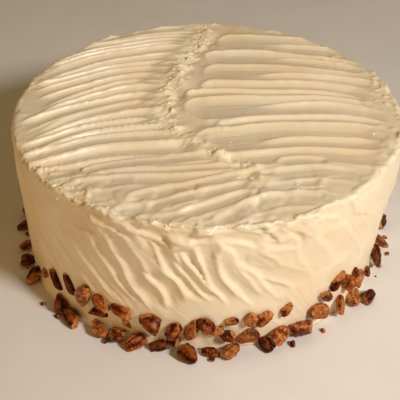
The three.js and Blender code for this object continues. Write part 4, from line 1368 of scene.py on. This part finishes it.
def add_pecans(materials):
    for index, row in enumerate([*PECANS, *back_pecans()]):
        node = f"pecan_{index + 1:02d}"
        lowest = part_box(node)[0].z / MM if row[2] > 0 else None
        add_nuts(f"chopped_{node}", [placed_pecan(row, index, lowest)], materials[row[6]], node)


SMALL_SEED = 100


def add_small_pecans(materials):
    """The small pieces that are part of the frosting's solid, joined by tone."""
    rows = list(enumerate([*SMALL_PECANS, *back_small_pecans()]))
    for tone, material in materials.items():
        parts = [placed_pecan(row, SMALL_SEED + index) for index, row in rows if row[6] == tone]
        if parts:
            add_nuts(f"small_pecans_{tone}", parts, material)


# Crumbs on the ground round the foot
CRUMBS = 44
CRUMB_FROM = 1.5
CRUMB_TO = 9.0
CRUMB_LENGTHS = (1.2, 4.2)
CRUMB_HEIGHT = 1.5
CRUMB_WIDTH_SHARE = 0.72
DARK_CRUMBS = 0.6
CRUMB_SEED = 200


def add_crumbs(materials):
    for tone in ("dark", "tan"):
        parts = []
        for index in range(CRUMBS):
            if (draw(index, 70) < DARK_CRUMBS) != (tone == "dark"):
                continue
            angle = 360 * (index + draw(index, 72)) / CRUMBS
            length = spread(index, 71, *CRUMB_LENGTHS)
            row = (angle, CRUMB_HEIGHT, spread(index, 73, CRUMB_FROM, CRUMB_TO), length,
                   CRUMB_WIDTH_SHARE * length, spread(index, 74, -90, 90), tone, "skin")
            parts.append(placed_pecan(row, CRUMB_SEED + index, GROUND_GAP))
        add_nuts(f"nut_crumbs_{tone}", parts, materials[tone])


# The stage: floor, lights and camera

FLOOR_COLOUR = (0.84, 0.79, 0.72)
FLOOR_SIZE = 6.0


def add_floor():
    bpy.ops.mesh.primitive_plane_add(size=FLOOR_SIZE)
    floor = bpy.context.object
    floor.name = "floor"
    shader = Shader("floor")
    darker = tuple(0.94 * value for value in FLOOR_COLOUR)
    mottle = shader.ramp(shader.noise(14.0, 3.0), (0.3, darker), (0.7, FLOOR_COLOUR))
    shader.drive(Base_Color=mottle)
    set_inputs(shader.surface, Roughness=0.6)
    floor.data.materials.append(shader.material)


def aim(thing, place, target=(0.0, 0.0, 0.04)):
    """Puts a light or camera at a place, looking at a target."""
    forward = unit(np.array(target) - np.array(place))
    right = unit(np.cross(forward, [0.0, 0.0, 1.0]))
    up = np.cross(right, forward)
    set_axes(thing, right, up, -forward, place)


def set_axes(thing, right, up, back, place):
    rows = [[right[i], up[i], back[i], place[i]] for i in range(3)]
    thing.matrix_world = Matrix([*rows, [0.0, 0.0, 0.0, 1.0]])


def polar_place(azimuth, elevation, distance):
    azimuth, elevation = math.radians(azimuth), math.radians(elevation)
    return (
        distance * math.cos(elevation) * math.cos(azimuth),
        distance * math.cos(elevation) * math.sin(azimuth),
        distance * math.sin(elevation),
    )


# Lights: azimuth from +X, elevation, distance, size, watts and colour
LIGHTS = {
    "key": (-43, 39, 1.15, 0.22, 10.2, (1.0, 0.965, 0.96)),
    "front_fill": (-120, 12, 2.0, 1.6, 2.2, (1.0, 0.60, 0.2)),
    "left_fill": (204, 6, 2.0, 1.4, 7.0, (1.0, 0.56, 0.14)),
}
WORLD_LIGHT = 0.18
WORLD_COLOUR = (1.0, 0.73, 0.36)


def add_lights():
    for name, (azimuth, elevation, distance, size, watts, colour) in LIGHTS.items():
        light = bpy.data.lights.new(name, "AREA")
        light.shape = "DISK"
        light.size = size
        light.energy = watts
        light.color = colour
        aim(add_object(name, light), polar_place(azimuth, elevation, distance))
    world = bpy.data.worlds.new("studio")
    world.use_nodes = True
    background = world.node_tree.nodes["Background"]
    background.inputs["Color"].default_value = (*WORLD_COLOUR, 1.0)
    background.inputs["Strength"].default_value = WORLD_LIGHT
    bpy.context.scene.world = world


# The camera, with its place in rim radii and its turns in radians
CAMERA_BACK = 4.202
CAMERA_UP = 3.323
CAMERA_PITCH = 0.6408
CAMERA_YAW = -0.0088
CAMERA_ROLL = 0.0053
FOCAL_LENGTH = 84.9
SENSOR = 36.0


def add_camera():
    data = bpy.data.cameras.new("camera")
    data.lens = FOCAL_LENGTH
    data.sensor_width = SENSOR
    camera = add_object("camera", data)
    sin_pitch, cos_pitch = math.sin(CAMERA_PITCH), math.cos(CAMERA_PITCH)
    sin_yaw, cos_yaw = math.sin(CAMERA_YAW), math.cos(CAMERA_YAW)
    forward = np.array([sin_yaw * cos_pitch, cos_yaw * cos_pitch, -sin_pitch])
    level = np.array([cos_yaw, -sin_yaw, 0.0])
    upright = np.cross(level, forward)
    right = level * math.cos(CAMERA_ROLL) + upright * math.sin(CAMERA_ROLL)
    up = -level * math.sin(CAMERA_ROLL) + upright * math.cos(CAMERA_ROLL)
    place = np.array([0.0, -CAMERA_BACK, CAMERA_UP]) * RIM_RADIUS * MM
    set_axes(camera, right, up, -forward, place)
    bpy.context.scene.camera = camera


# Everything is added here

frosting = frosting_material()
add_frosting_coat(frosting)
add_frosting_bits(frosting)
pecan_materials = {tone: pecan_material(tone) for tone in SKIN_TONES}
add_pecans(pecan_materials)
add_small_pecans(pecan_materials)
add_crumbs(pecan_materials)
add_floor()
add_lights()
add_camera()
bpy.context.scene.view_settings.view_transform = "Standard"
